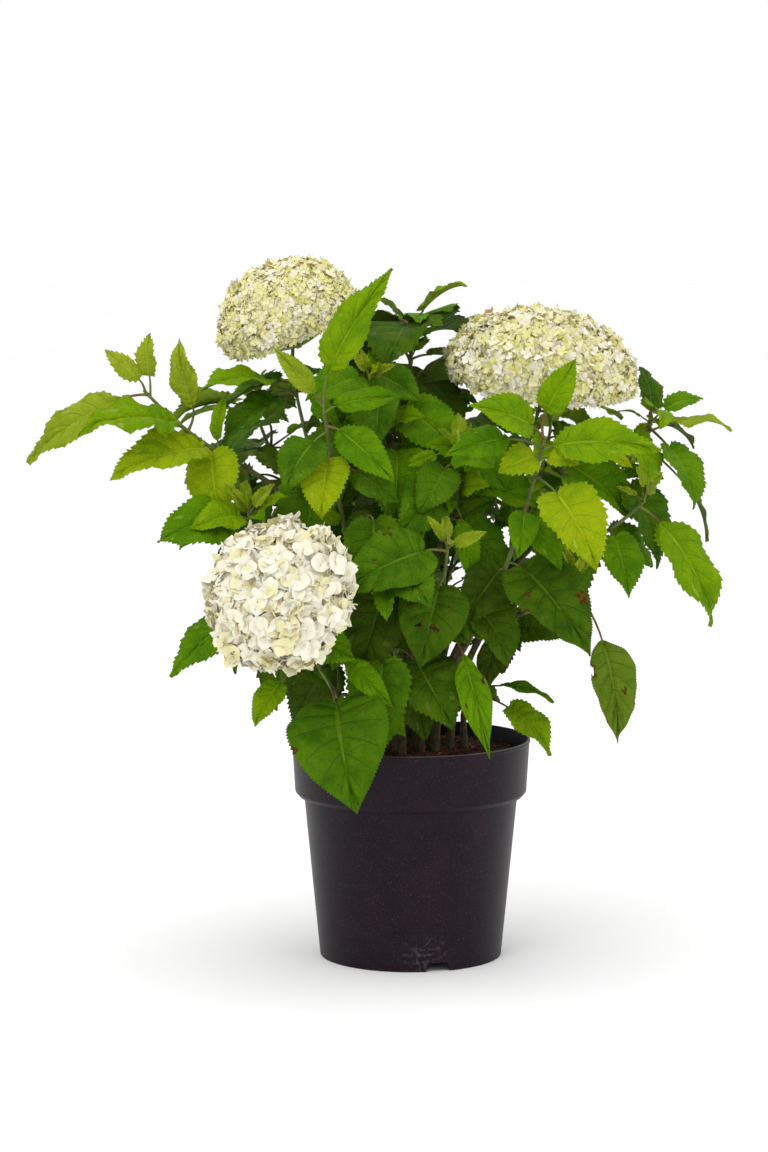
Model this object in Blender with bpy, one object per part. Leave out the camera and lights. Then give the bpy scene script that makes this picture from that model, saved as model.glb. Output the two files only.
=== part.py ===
"""A smooth hydrangea with three mophead blooms, growing in a black nursery pot.

The pot and the growing medium are turned solids. Every cane and side bough is one tapering limb,
and it ends where its leafy shoot begins. A shoot is one solid: a stem with opposite pairs of leaves,
each pair turned a quarter round from the last, and with some leaves that are posed one by one.
A bloom is one solid: its stalk, a domed core and florets that stand out of it.

Metres, +Z up. The origin is the middle of the pot's flat underside. The plant's front is at -Y.
A bearing is in degrees round the pot's axis: 0 is the front, 90 is +X and 180 is the back.
"""

import math
import random
from collections import namedtuple

import bmesh
import bpy
from mathutils import Matrix, Vector
from mathutils.bvhtree import BVHTree

UP = Vector((0.0, 0.0, 1.0))
CLEAR = 0.0003
WELD = 1e-7
FULL_TURN = 2.0 * math.pi

# The pot
POT_HEIGHT = 0.229
POT_TOP_RADIUS = 0.125
POT_FOOT_RADIUS = 0.0950
POT_WALL = 0.002
POT_SIDES = 40
BAND_DEPTH = 0.061
BAND_FOOT_RADIUS = 0.1205
SHOULDER_STEP = 0.009
LIP_HEIGHT = 0.004
DISC_RADIUS = 0.055
CHANNEL_RISE = 0.010
CHANNEL_LEAN = 0.004
CHANNEL_STEP = 0.001
POT_CORNER = 0.0006
LEDGE_RISE = 0.0012
BAND_EASE = 0.006
BAND_EASE_INSIDE = 0.008
NOTCH_COUNT = 3
NOTCH_WIDTH = 0.026
NOTCH_TOP_WIDTH = 0.019
NOTCH_HEIGHT = 0.0092
NOTCH_DEPTH = 0.008
FIRST_NOTCH = math.radians(-73.0)
DRAIN_COUNT = 6
DRAIN_RADIUS = 0.006
DRAIN_RING = 0.073
DRAIN_SIDES = 8
CUTTER_OVERRUN = 0.003

# The growing medium
SOIL_LEVEL = 0.216
SOIL_EDGE_LEVEL = 0.209
SOIL_FLAT_RADIUS = 0.078

# Canes and side boughs. A side bough leaves its cane at SIDE_SHARE, which is one of the cane's steps.
CANE_RADIUS = 0.0042
BOUGH_RADIUS = 0.0032
FORK_RADIUS = 0.0025
LIMB_SIDES = 6
LIMB_STEPS = 4
CANE_RISE = 0.40
FORK_RUN = 0.30
SIDE_SHARE = 0.50

# Leafy stems
TIP_RADIUS = 0.0016
STEM_SIDES = 5
STEM_STEPS = 3
STEM_SAG = 0.20
FIRST_NODE = 0.10
LAST_NODE = 0.94

# Leaves
PETIOLE_RADIUS = 0.0012
LEAF_THICKNESS = 0.013
BLADE_STATIONS = ((0.20, 0.92), (0.58, 0.78))
OUTWARD_LIGHT = 0.55
FRONT_LIGHT = 1.5
LIT_DEPTH = 0.16
POSED_LIFT = 26
POSED_DROOP = 0.75
POSED_FOLD = 0.28
LOW_PITCH = -54
PITCH_GAIN = 36
PITCH_STRAY = 12
TRIAL_PITCH = 3
TURN_STRAY = 0.25
TRIAL_TURN = 0.15
LOW_SPREAD = 74
SPREAD_LOSS = 30
LOW_LENGTH = 1.12
LENGTH_LOSS = 0.38
OUTWARD_PULL = 0.60
LENGTH_RANGE = (0.88, 1.10)
PETIOLE_RANGE = (0.30, 0.50)
LOW_PETIOLE = 1.1
PETIOLE_LOSS = 0.4
WIDTH_RANGE = (0.62, 0.82)
DROOP_RANGE = (0.35, 0.90)
FOLD_RANGE = (0.15, 0.42)
ROLL_RANGE = (-0.35, 0.35)
SEED = 41
TRIALS = 10
ROOM = 0.0010
ROOT_START = 0.0004
ROOT_LENGTH = 0.009
UNDERSIDE_LEVEL = 0.225
UNDERSIDE_RADIUS = 0.16
UNDERSIDE_SLOPE = 1.8
LEAF_TO_POT = 0.003
LEAF_TO_BLOOM = 0.002
SPACE_SIDES = 24

# Blooms
STALK_RADIUS = 0.0022
CORE_SIDES = 9
CORE_RINGS = 5
FLORET_RADIUS = 0.0150
FLORET_RISE = 0.0055
FLORET_ROOT = 0.0070
FLORET_THICKNESS = 0.0015
FLORET_TWIST = 1.9
STALK_BEND = 0.35
NOTCH_SHARE = 0.62
GOLDEN_ANGLE = math.radians(137.508)

Shoot = namedtuple("Shoot", "name carrier foot bearing reach height length lean pairs leaf turn")
Tier = namedtuple("Tier", "name foot first spacing reach height length lean pairs leaf")
Leaf = namedtuple("Leaf", "root base chord face length width droop fold")
Posed = namedtuple("Posed", "shoot node bearing pitch petiole length width")
Bloom = namedtuple(
    "Bloom", "name shoot bearing reach height lean heading radius crown skirt florets spread"
)

# Each leafy shoot: the shoot whose cane carries it, or None for the soil, and how far out its foot
# stands there. Then where its leaves start: the bearing, how far out and how high. Then the stem's
# length and how far it leans outward in degrees, its pairs of leaves, their length and first turn.
FRONT_SHOOTS = (
    Shoot("left_top", None, 0.036, -80, 0.175, 0.515, 0.13, 52, 0, 0.080, 50),
    Shoot("left_bloom", None, 0.018, -95, 0.09, 0.48, 0.12, 15, 2, 0.090, 60),
    Shoot("left_side", None, 0.052, -65, 0.12, 0.38, 0.11, 35, 2, 0.070, 80),
    Shoot("front_left", None, 0.030, -40, 0.10, 0.44, 0.15, 15, 1, 0.080, 35),
    Shoot("top_back", None, 0.014, 180, 0.05, 0.51, 0.150, 5, 5, 0.108, 10),
    Shoot("top_front", "top_back", 0, -45, 0.03, 0.52, 0.09, 20, 4, 0.085, 50),
    Shoot("middle", None, 0.012, 30, 0.06, 0.44, 0.10, 20, 3, 0.085, 75),
    Shoot("right_bloom", None, 0.022, 85, 0.12, 0.46, 0.09, 15, 3, 0.095, 40),
    Shoot("right_top", "right_bloom", 0, 100, 0.20, 0.49, 0.09, 40, 3, 0.090, 15),
    Shoot("right_low", None, 0.042, 80, 0.17, 0.43, 0.09, 55, 0, 0.076, 10),
    Shoot("front_right", None, 0.036, 45, 0.13, 0.41, 0.155, 22, 0, 0.085, 30),
    Shoot("front_middle", None, 0.040, 15, 0.10, 0.36, 0.09, 25, 1, 0.070, 95),
    Shoot("low_right", "front_right", 0, 55, 0.14, 0.37, 0.07, 60, 0, 0.080, 140),
    Shoot("low_left", None, 0.046, -40, 0.11, 0.28, 0.08, 40, 2, 0.080, 60),
    Shoot("low_middle", None, 0.052, -10, 0.09, 0.325, 0.09, 20, 3, 0.090, 65),
    Shoot("rim_right", None, 0.056, 90, 0.06, 0.27, 0.08, 25, 2, 0.075, 45),
)

# The shoots on the far side stand in two tiers, evenly spaced round the back.
BACK_TIERS = (
    Tier("back", 0.036, 140, 45, 0.14, 0.44, 0.15, 32, 4, 0.110),
    Tier("low_back", 0.054, 160, 45, 0.09, 0.36, 0.11, 42, 4, 0.095),
)
BACK_PLACES = ("right", "middle", "left")
TIER_TURN = 30

# Leaves that are posed one by one: the shoot, the share along its stem, the blade's bearing and its
# pitch above level in degrees, the petiole's and the blade's length, and the width as a share.
POSED_LEAVES = (
    Posed("left_top", 0.95, -100, -34, 0.028, 0.126, 0.38),
    Posed("left_top", 0.54, -50, -1, 0.018, 0.122, 0.44),
    Posed("left_top", 0.27, -58, -14, 0.012, 0.116, 0.54),
    Posed("left_top", 0.99, -100, 40, 0.012, 0.050, 0.42),
    Posed("left_top", 0.93, 10, 80, 0.022, 0.046, 0.54),
    Posed("left_top", 0.53, -60, 77, 0.026, 0.074, 0.40),
    Posed("left_top", 0.22, 60, 75, 0.014, 0.052, 0.36),
    Posed("left_top", 0.32, 25, -66, 0.010, 0.080, 0.72),
    Posed("left_top", 0.12, -150, -25, 0.020, 0.080, 0.66),
    Posed("left_side", 0.90, -75, -15, 0.025, 0.080, 0.74),
    Posed("left_bloom", 0.93, -60, -36, 0.020, 0.088, 0.56),
    Posed("left_bloom", 0.91, -50, -3, 0.040, 0.092, 0.50),
    Posed("front_left", 0.97, 65, 56, 0.035, 0.130, 0.34),
    Posed("front_left", 0.74, -85, 48, 0.050, 0.064, 0.36),
    Posed("front_left", 0.93, 75, 8, 0.014, 0.074, 0.36),
    Posed("front_left", 0.84, 60, -38, 0.016, 0.085, 0.46),
    Posed("front_left", 0.80, -50, -54, 0.022, 0.060, 0.78),
    Posed("front_left", 0.66, -12, -62, 0.014, 0.066, 0.76),
    Posed("front_left", 0.55, 68, -33, 0.027, 0.056, 0.62),
    Posed("top_back", 0.99, -12, -24, 0.020, 0.105, 0.82),
    Posed("top_back", 0.80, -75, -10, 0.028, 0.070, 0.66),
    Posed("top_back", 0.86, 140, -4, 0.020, 0.095, 0.80),
    Posed("top_back", 0.70, -100, -24, 0.030, 0.090, 0.76),
    Posed("top_back", 0.62, 25, -38, 0.026, 0.090, 0.76),
    Posed("middle", 0.90, -50, -50, 0.018, 0.058, 0.74),
    Posed("middle", 0.50, 35, -72, 0.028, 0.074, 0.36),
    Posed("middle", 0.28, 100, -50, 0.020, 0.072, 0.66),
    Posed("middle", 0.12, -70, -14, 0.028, 0.066, 0.62),
    Posed("front_right", 0.90, 78, -2, 0.014, 0.110, 0.44),
    Posed("right_bloom", 0.72, 52, -6, 0.020, 0.095, 0.34),
    Posed("front_right", 0.98, -55, 16, 0.022, 0.083, 0.54),
    Posed("front_right", 0.96, 75, 60, 0.032, 0.062, 0.54),
    Posed("front_right", 0.92, -65, -12, 0.042, 0.072, 0.48),
    Posed("front_right", 0.86, -60, -20, 0.008, 0.046, 0.75),
    Posed("front_right", 0.84, 70, -12, 0.010, 0.034, 0.60),
    Posed("front_right", 0.72, 52, -56, 0.031, 0.092, 0.70),
    Posed("front_right", 0.52, -15, -58, 0.014, 0.052, 0.62),
    Posed("front_right", 0.45, 60, -56, 0.012, 0.060, 0.56),
    Posed("front_right", 0.10, 46, -42, 0.026, 0.120, 0.66),
    Posed("front_right", 0.05, -60, -50, 0.010, 0.070, 0.70),
    Posed("back_right", 0.97, 95, 48, 0.020, 0.070, 0.50),
    Posed("right_top", 0.80, 90, -4, 0.030, 0.068, 0.44),
    Posed("right_top", 0.90, 45, -60, 0.035, 0.075, 0.72),
    Posed("right_top", 0.97, 125, -34, 0.016, 0.052, 0.66),
    Posed("right_top", 0.70, 105, -66, 0.060, 0.078, 0.34),
    Posed("right_low", 0.90, 80, -62, 0.026, 0.126, 0.42),
    Posed("right_low", 0.30, 130, -30, 0.020, 0.072, 0.66),
    Posed("right_low", 0.48, 20, -58, 0.015, 0.070, 0.70),
    Posed("low_right", 0.92, 50, -79, 0.066, 0.106, 0.46),
    Posed("front_middle", 0.96, -75, -24, 0.025, 0.098, 0.68),
    Posed("front_middle", 0.62, -40, -70, 0.012, 0.086, 0.84),
    Posed("front_middle", 0.12, 35, -66, 0.055, 0.112, 0.30),
    Posed("low_middle", 0.92, -80, -73, 0.012, 0.100, 0.62),
    Posed("low_middle", 0.05, 60, -74, 0.022, 0.075, 0.70),
    Posed("low_left", 0.97, 62, -40, 0.045, 0.068, 0.40),
    Posed("low_middle", 0.15, 45, -50, 0.034, 0.085, 0.76),
    Posed("left_side", 0.06, -88, -42, 0.062, 0.104, 0.46),
    Posed("low_left", 0.60, 20, -58, 0.055, 0.121, 0.86),
    Posed("low_left", 0.80, -60, -55, 0.045, 0.054, 0.55),
    Posed("low_left", 0.12, 62, -36, 0.038, 0.052, 0.70),
    Posed("rim_right", 0.97, -60, -72, 0.010, 0.062, 0.50),
    Posed("rim_right", 0.09, 60, -42, 0.046, 0.070, 0.58),
    Posed("rim_right", 0.13, 72, -14, 0.030, 0.062, 0.26),
)

# Each bloom: the shoot it crowns, its middle, how far its axis leans from upright and to which
# bearing, its radius, how far the dome rises and its skirt hangs, its florets, and how far round the
# dome they go in degrees.
BLOOMS = (
    Bloom("left", "left_bloom", -100, 0.13, 0.666, 22, -75, 0.077, 0.062, 0.042, 24, 116),
    Bloom("right", "right_bloom", 95, 0.135, 0.613, 8, 60, 0.102, 0.067, 0.048, 30, 118),
    Bloom("low", "low_left", -33, 0.235, 0.398, 62, -30, 0.080, 0.074, 0.052, 28, 125),
)


def direction(bearing, pitch=0.0):
    """The way to a bearing, raised above level by pitch, both in degrees."""
    turn = math.radians(bearing)
    rise = math.radians(pitch)
    level = Vector((math.sin(turn), -math.cos(turn), 0.0))
    return level * math.cos(rise) + UP * math.sin(rise)


def tier_shoots(tier):
    """The shoots of one tier, each as far round from the last."""
    made = []
    for count, side in enumerate(BACK_PLACES):
        name = tier.name + "_" + side
        bearing = tier.first + tier.spacing * count
        place = (bearing, tier.reach, tier.height, tier.length, tier.lean)
        made.append(Shoot(name, None, tier.foot, *place, tier.pairs, tier.leaf, TIER_TURN * count))
    return tuple(made)


SHOOTS = FRONT_SHOOTS + tier_shoots(BACK_TIERS[0]) + tier_shoots(BACK_TIERS[1])


def fork_of(shoot):
    return direction(shoot.bearing) * shoot.reach + UP * shoot.height


def tip_of(shoot):
    return fork_of(shoot) + direction(shoot.bearing, 90 - shoot.lean) * shoot.length


def middle_of(bloom):
    return direction(bloom.bearing) * bloom.reach + UP * bloom.height


def axis_of(bloom):
    return direction(bloom.heading, 90 - bloom.lean)


def clear_scene():
    for thing in list(bpy.data.objects):
        bpy.data.objects.remove(thing, do_unlink=True)


def make_material(name, colour, roughness):
    material = bpy.data.materials.new(name)
    material.use_nodes = True
    shader = material.node_tree.nodes["Principled BSDF"]
    shader.inputs["Base Color"].default_value = (*colour, 1.0)
    shader.inputs["Roughness"].default_value = roughness
    shader.inputs["Metallic"].default_value = 0.0
    return material


def add_object(name, points, faces, material):
    """One object from a closed skin, with its faces turned out and split into triangles."""
    mesh = bpy.data.meshes.new(name)
    mesh.from_pydata([tuple(point) for point in points], [], faces)
    skin = bmesh.new()
    skin.from_mesh(mesh)
    bmesh.ops.recalc_face_normals(skin, faces=skin.faces)
    bmesh.ops.triangulate(skin, faces=skin.faces)
    skin.to_mesh(mesh)
    skin.free()
    mesh.materials.append(material)
    made = bpy.data.objects.new(name, mesh)
    bpy.context.scene.collection.objects.link(made)
    return made


# Booleans


def islands(skin):
    """The faces of a bmesh in groups that hang together."""
    waiting = set(skin.faces)
    groups = []
    while waiting:
        group = {waiting.pop()}
        edge_of_group = list(group)
        while edge_of_group:
            face = edge_of_group.pop()
            near = {other for edge in face.edges for other in edge.link_faces} - group
            group |= near
            edge_of_group.extend(near)
        waiting -= group
        groups.append(group)
    return groups


def volume_of(faces):
    """The signed volume inside a group of triangles."""
    total = 0.0
    for face in faces:
        a, b, c = (corner.co for corner in face.verts)
        total += a.dot(b.cross(c)) / 6.0
    return total


def keep_the_main_skin(mesh):
    """Drops loose scraps and the walls of sealed hollows, which fills them."""
    skin = bmesh.new()
    skin.from_mesh(mesh)
    bmesh.ops.dissolve_degenerate(skin, edges=skin.edges, dist=WELD)
    bmesh.ops.triangulate(skin, faces=skin.faces)
    groups = sorted(islands(skin), key=volume_of)
    spare = [face for group in groups[:-1] for face in group]
    bmesh.ops.delete(skin, geom=spare, context="FACES")
    skin.to_mesh(mesh)
    skin.free()


def is_closed(mesh):
    skin = bmesh.new()
    skin.from_mesh(mesh)
    closed = all(len(edge.link_faces) == 2 for edge in skin.edges)
    skin.free()
    return closed


def boolean_with(made, others, operation):
    """Applies one Boolean on a collection to an object, and removes the collection's objects.

    The exact solver goes first. Where it leaves an open edge, the manifold solver takes its place.
    """
    group = bpy.data.collections.new(made.name + "_others")
    bpy.context.scene.collection.children.link(group)
    for other in others:
        bpy.context.scene.collection.objects.unlink(other)
        group.objects.link(other)
    step = made.modifiers.new("join", "BOOLEAN")
    step.operand_type = "COLLECTION"
    step.collection = group
    step.operation = operation
    for solver in ("EXACT", "MANIFOLD"):
        step.solver = solver
        graph = bpy.context.evaluated_depsgraph_get()
        joined = bpy.data.meshes.new_from_object(made.evaluated_get(graph), depsgraph=graph)
        keep_the_main_skin(joined)
        if is_closed(joined):
            break
    made.modifiers.clear()
    old = made.data
    made.data = joined
    bpy.data.meshes.remove(old)
    for other in others:
        bpy.data.objects.remove(other, do_unlink=True)
    bpy.data.collections.remove(group)


# Turned solids


def turned(name, profile, material):
    """A solid of revolution. The profile's first and last points are on the axis."""
    points = [Vector((0.0, 0.0, profile[0][1]))]
    for radius, height in profile[1:-1]:
        for side in range(POT_SIDES):
            angle = FULL_TURN * side / POT_SIDES
            points.append(Vector((radius * math.cos(angle), radius * math.sin(angle), height)))
    points.append(Vector((0.0, 0.0, profile[-1][1])))
    last = len(points) - 1
    faces = []
    for side in range(POT_SIDES):
        after = (side + 1) % POT_SIDES
        faces.append((0, 1 + side, 1 + after))
        faces.append((last, last - POT_SIDES + after, last - POT_SIDES + side))
        for ring in range(len(profile) - 3):
            low = 1 + ring * POT_SIDES
            high = low + POT_SIDES
            faces.append((low + side, high + side, high + after, low + after))
    return add_object(name, points, faces, material)


def wall_radius(height):
    """The pot's outer radius at a height, below and above the shoulder under its rim band."""
    band_foot = POT_HEIGHT - BAND_DEPTH
    body_top_radius = BAND_FOOT_RADIUS - SHOULDER_STEP
    if height <= band_foot:
        return POT_FOOT_RADIUS + (body_top_radius - POT_FOOT_RADIUS) * height / band_foot
    share = (height - band_foot) / BAND_DEPTH
    return BAND_FOOT_RADIUS + (POT_TOP_RADIUS - BAND_FOOT_RADIUS) * share


def pot_profile():
    band_foot = POT_HEIGHT - BAND_DEPTH
    shoulder = wall_radius(band_foot)
    lip_foot = POT_HEIGHT - LIP_HEIGHT
    floor = CHANNEL_RISE + POT_WALL
    outside = [
        (0.0, 0.0),
        (DISC_RADIUS, 0.0),
        (DISC_RADIUS + CHANNEL_LEAN, CHANNEL_RISE),
        (wall_radius(CHANNEL_RISE) - POT_WALL - CHANNEL_STEP, CHANNEL_RISE),
        (POT_FOOT_RADIUS - POT_WALL, 0.0),
        (POT_FOOT_RADIUS - POT_CORNER, 0.0),
        (wall_radius(LEDGE_RISE), LEDGE_RISE),
        (shoulder, band_foot),
        (shoulder + 0.6 * SHOULDER_STEP, band_foot + LEDGE_RISE),
        (wall_radius(band_foot + BAND_EASE), band_foot + BAND_EASE),
        (wall_radius(lip_foot) - POT_CORNER, lip_foot),
        (POT_TOP_RADIUS, lip_foot + CHANNEL_STEP),
        (POT_TOP_RADIUS, POT_HEIGHT - POT_CORNER),
        (POT_TOP_RADIUS - POT_CORNER, POT_HEIGHT),
    ]
    inside = [
        (POT_TOP_RADIUS - POT_WALL - POT_CORNER, POT_HEIGHT),
        (wall_radius(band_foot + BAND_EASE_INSIDE) - POT_WALL, band_foot + BAND_EASE_INSIDE),
        (shoulder - POT_WALL, band_foot - CHANNEL_STEP),
        (wall_radius(floor) - POT_WALL, floor),
        (DISC_RADIUS + CHANNEL_LEAN - POT_WALL, floor),
        (DISC_RADIUS - POT_WALL, POT_WALL),
        (0.0, POT_WALL),
    ]
    return outside + inside


def make_pot(material):
    pot = turned("pot", pot_profile(), material)
    cutters = []
    for count in range(NOTCH_COUNT):
        turn = Matrix.Rotation(FIRST_NOTCH + FULL_TURN * count / NOTCH_COUNT, 4, "Z")
        cutters.append(add_notch_cutter(turn, material))
    for count in range(DRAIN_COUNT):
        turn = Matrix.Rotation(FULL_TURN * (count + 0.5) / DRAIN_COUNT, 4, "Z")
        cutters.append(add_drain_cutter(turn, material))
    boolean_with(pot, cutters, "DIFFERENCE")
    return pot


def add_notch_cutter(turn, material):
    """A wedge, wider at the ground, that cuts a drain notch through the foot ring."""
    reach = (POT_FOOT_RADIUS - NOTCH_DEPTH, POT_FOOT_RADIUS + NOTCH_DEPTH)
    half = NOTCH_WIDTH / 2
    half_top = NOTCH_TOP_WIDTH / 2
    below = -CUTTER_OVERRUN
    foot = ((-half, 0.0), (-half, below), (half, below), (half, 0.0))
    outline = foot + ((half_top, NOTCH_HEIGHT), (-half_top, NOTCH_HEIGHT))
    points = [turn @ Vector((x, y, z)) for x in reach for y, z in outline]
    count = len(outline)
    faces = [tuple(range(count)), tuple(range(2 * count - 1, count - 1, -1))]
    for corner in range(count):
        after = (corner + 1) % count
        faces.append((corner, count + corner, count + after, after))
    return add_object("notch", points, faces, material)


def add_drain_cutter(turn, material):
    points = []
    for height in (CHANNEL_RISE - CUTTER_OVERRUN, CHANNEL_RISE + POT_WALL + CUTTER_OVERRUN):
        for side in range(DRAIN_SIDES):
            angle = FULL_TURN * (side + 0.5) / DRAIN_SIDES
            x = DRAIN_RING + DRAIN_RADIUS * math.cos(angle)
            points.append(turn @ Vector((x, DRAIN_RADIUS * math.sin(angle), height)))
    faces = [tuple(range(DRAIN_SIDES)), tuple(range(2 * DRAIN_SIDES - 1, DRAIN_SIDES - 1, -1))]
    for side in range(DRAIN_SIDES):
        after = (side + 1) % DRAIN_SIDES
        faces.append((side, DRAIN_SIDES + side, DRAIN_SIDES + after, after))
    return add_object("drain", points, faces, material)


def make_growing_medium(material):
    """Fills the pot 0.3 mm clear of it, with a low flat mound that the canes stand on."""
    band_foot = POT_HEIGHT - BAND_DEPTH
    gap = POT_WALL + CLEAR
    floor = CHANNEL_RISE + POT_WALL + CLEAR
    inset = DISC_RADIUS - POT_WALL - CLEAR
    edge_radius = wall_radius(SOIL_EDGE_LEVEL) - gap - POT_CORNER
    profile = [
        (0.0, POT_WALL + CLEAR),
        (inset, POT_WALL + CLEAR),
        (inset + CHANNEL_LEAN, floor),
        (wall_radius(floor) - gap, floor),
        (wall_radius(band_foot - CHANNEL_STEP) - gap, band_foot - CHANNEL_STEP),
        (wall_radius(band_foot + BAND_EASE_INSIDE) - gap - CLEAR, band_foot + BAND_EASE_INSIDE + CLEAR),
        (edge_radius, SOIL_EDGE_LEVEL),
        (SOIL_FLAT_RADIUS, SOIL_LEVEL),
        (0.0, SOIL_LEVEL),
    ]
    return turned("growing_medium", profile, material)


# Limbs


def bezier(corners, share):
    """The point and the direction at a share along a cubic curve."""
    a, b, c, d = corners
    rest = 1.0 - share
    point = a * rest**3 + b * (3 * rest * rest * share) + c * (3 * rest * share * share) + d * share**3
    way = (b - a) * (rest * rest) + (c - b) * (2 * rest * share) + (d - c) * (share * share)
    return point, way.normalized()


def tube(corners, radii, sides, steps):
    """The skin of a tapering limb along a cubic curve, with flat ends."""
    points = []
    across = bezier(corners, 0.0)[1].orthogonal().normalized()
    for step in range(steps + 1):
        share = step / steps
        centre, way = bezier(corners, share)
        across = (across - way * across.dot(way)).normalized()
        beside = way.cross(across)
        radius = radii[0] + (radii[1] - radii[0]) * share
        for side in range(sides):
            angle = FULL_TURN * side / sides
            points.append(centre + (across * math.cos(angle) + beside * math.sin(angle)) * radius)
    faces = [tuple(range(sides - 1, -1, -1)), tuple(range(steps * sides, (steps + 1) * sides))]
    for step in range(steps):
        low = step * sides
        for side in range(sides):
            after = (side + 1) % sides
            faces.append((low + side, low + after, low + sides + after, low + sides + side))
    return points, faces


def stem_way(shoot):
    """The way a cane's end and its leafy stem's start point: below the tip, which curves up."""
    return (direction(shoot.bearing, 90 - shoot.lean) - UP * STEM_SAG).normalized()


def bough_corners(shoot, curves):
    """The curve of a cane from the soil, or of a side bough from the cane that carries it."""
    fork = fork_of(shoot)
    way = stem_way(shoot)
    if shoot.carrier is None:
        start = direction(shoot.bearing) * shoot.foot + UP * (SOIL_LEVEL + CLEAR)
        rise = UP
        radius = CANE_RADIUS
    else:
        point, along = bezier(curves[shoot.carrier][0], SIDE_SHARE)
        rise = (along + (fork - point).normalized()).normalized()
        angle = rise.angle(along)
        radius = BOUGH_RADIUS
        carrier_radius = CANE_RADIUS + (FORK_RADIUS - CANE_RADIUS) * SIDE_SHARE
        start = point + rise * ((carrier_radius + CLEAR + radius * math.cos(angle)) / math.sin(angle))
    run = (fork - start).length
    corners = (start, start + rise * CANE_RISE * run, fork - way * FORK_RUN * run, fork)
    return corners, (radius, FORK_RADIUS)


def stem_corners(shoot):
    start = fork_of(shoot) + stem_way(shoot) * CLEAR
    tip = tip_of(shoot)
    bend = start + stem_way(shoot) * 0.5 * (tip - start).length
    return start, start.lerp(bend, 0.667), tip.lerp(bend, 0.667), tip


def stem_skin(corners):
    return tube(corners, (FORK_RADIUS, TIP_RADIUS), STEM_SIDES, STEM_STEPS)


# Leaves


def face_of(chord, place, roll):
    """The way a blade's upper side looks, turned by roll: to the light from above and outside.

    The plant was grown with its front, at -Y, to the light, and the leaves there turn to it.
    """
    outward = Vector((place.x, place.y, 0.0)).normalized()
    front = min(max(0.5 - place.y / LIT_DEPTH, 0.0), 1.0)
    light = UP + outward * OUTWARD_LIGHT + Vector((0.0, -FRONT_LIGHT, 0.0)) * front
    side = chord.cross(light).normalized()
    return Matrix.Rotation(roll, 3, chord) @ side.cross(chord)


def blade_at(leaf, share):
    """The midrib's point, its direction and its upper side at a share along a drooping blade."""
    start = leaf.chord * math.cos(leaf.droop / 2) + leaf.face * math.sin(leaf.droop / 2)
    above = leaf.face * math.cos(leaf.droop / 2) - leaf.chord * math.sin(leaf.droop / 2)
    angle = leaf.droop * share
    reach = leaf.length / leaf.droop
    point = leaf.base + (start * math.sin(angle) - above * (1.0 - math.cos(angle))) * reach
    way = start * math.cos(angle) - above * math.sin(angle)
    return point, way, above * math.cos(angle) + start * math.sin(angle)


def leaf_skin(leaf, room=0.0, skipped=0.0):
    """A three-sided petiole that runs on into a folded blade, as one closed skin.

    The petiole starts a share of the way out from its root where some of it is skipped.
    """
    base, way, above = blade_at(leaf, 0.0)
    side = way.cross(above)
    bend = base - way * 0.5 * (base - leaf.root).length
    curve = (leaf.root, leaf.root.lerp(bend, 0.667), base.lerp(bend, 0.667), base)
    petiole = PETIOLE_RADIUS + room
    points = []
    for share in (1.0, 0.5 + 0.5 * skipped, skipped):
        centre, along = bezier(curve, share)
        side = (side - along * side.dot(along)).normalized()
        above = side.cross(along)
        ring = [centre + (side + above * 0.5) * petiole, centre + (above * 0.5 - side) * petiole]
        points = ring + [centre - above * petiole] + points
    half_thick = leaf.length * LEAF_THICKNESS / 2 + room
    for share, breadth in BLADE_STATIONS:
        point, way, above = blade_at(leaf, share)
        side = way.cross(above)
        half = leaf.width / 2 * breadth + room
        out = side * half * math.cos(leaf.fold)
        lift = above * half * math.sin(leaf.fold)
        points += [point + out + lift, point + above * half_thick]
        points += [point - out + lift, point - above * half_thick]
    tip, way, above = blade_at(leaf, 1.0)
    points.append(tip + way * room)
    last = len(points) - 1
    faces = [(0, 1, 2)]
    for ring in (0, 3):
        for corner in range(3):
            after = (corner + 1) % 3
            faces.append((ring + corner, ring + after, ring + 3 + after, ring + 3 + corner))
    right, left, under = 6, 7, 8
    faces += [(right, 9, 10), (right, 10, left), (left, 10, 11)]
    faces += [(left, 11, 12, under), (under, 12, 9, right)]
    for corner in range(4):
        after = (corner + 1) % 4
        faces.append((9 + corner, 9 + after, 13 + after, 13 + corner))
        faces.append((13 + corner, 13 + after, last))
    return points, faces


def posed_leaf(posed, corners):
    """A leaf with a bearing and a pitch of its own."""
    node = bezier(corners, posed.node)[0]
    petiole_way = direction(posed.bearing, posed.pitch + POSED_LIFT)
    chord = direction(posed.bearing, posed.pitch)
    base = node + petiole_way * posed.petiole
    face = face_of(chord, base, 0.0)
    root = node + petiole_way * ROOT_START
    return Leaf(root, base, chord, face, posed.length, posed.length * posed.width, POSED_DROOP, POSED_FOLD)


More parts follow.
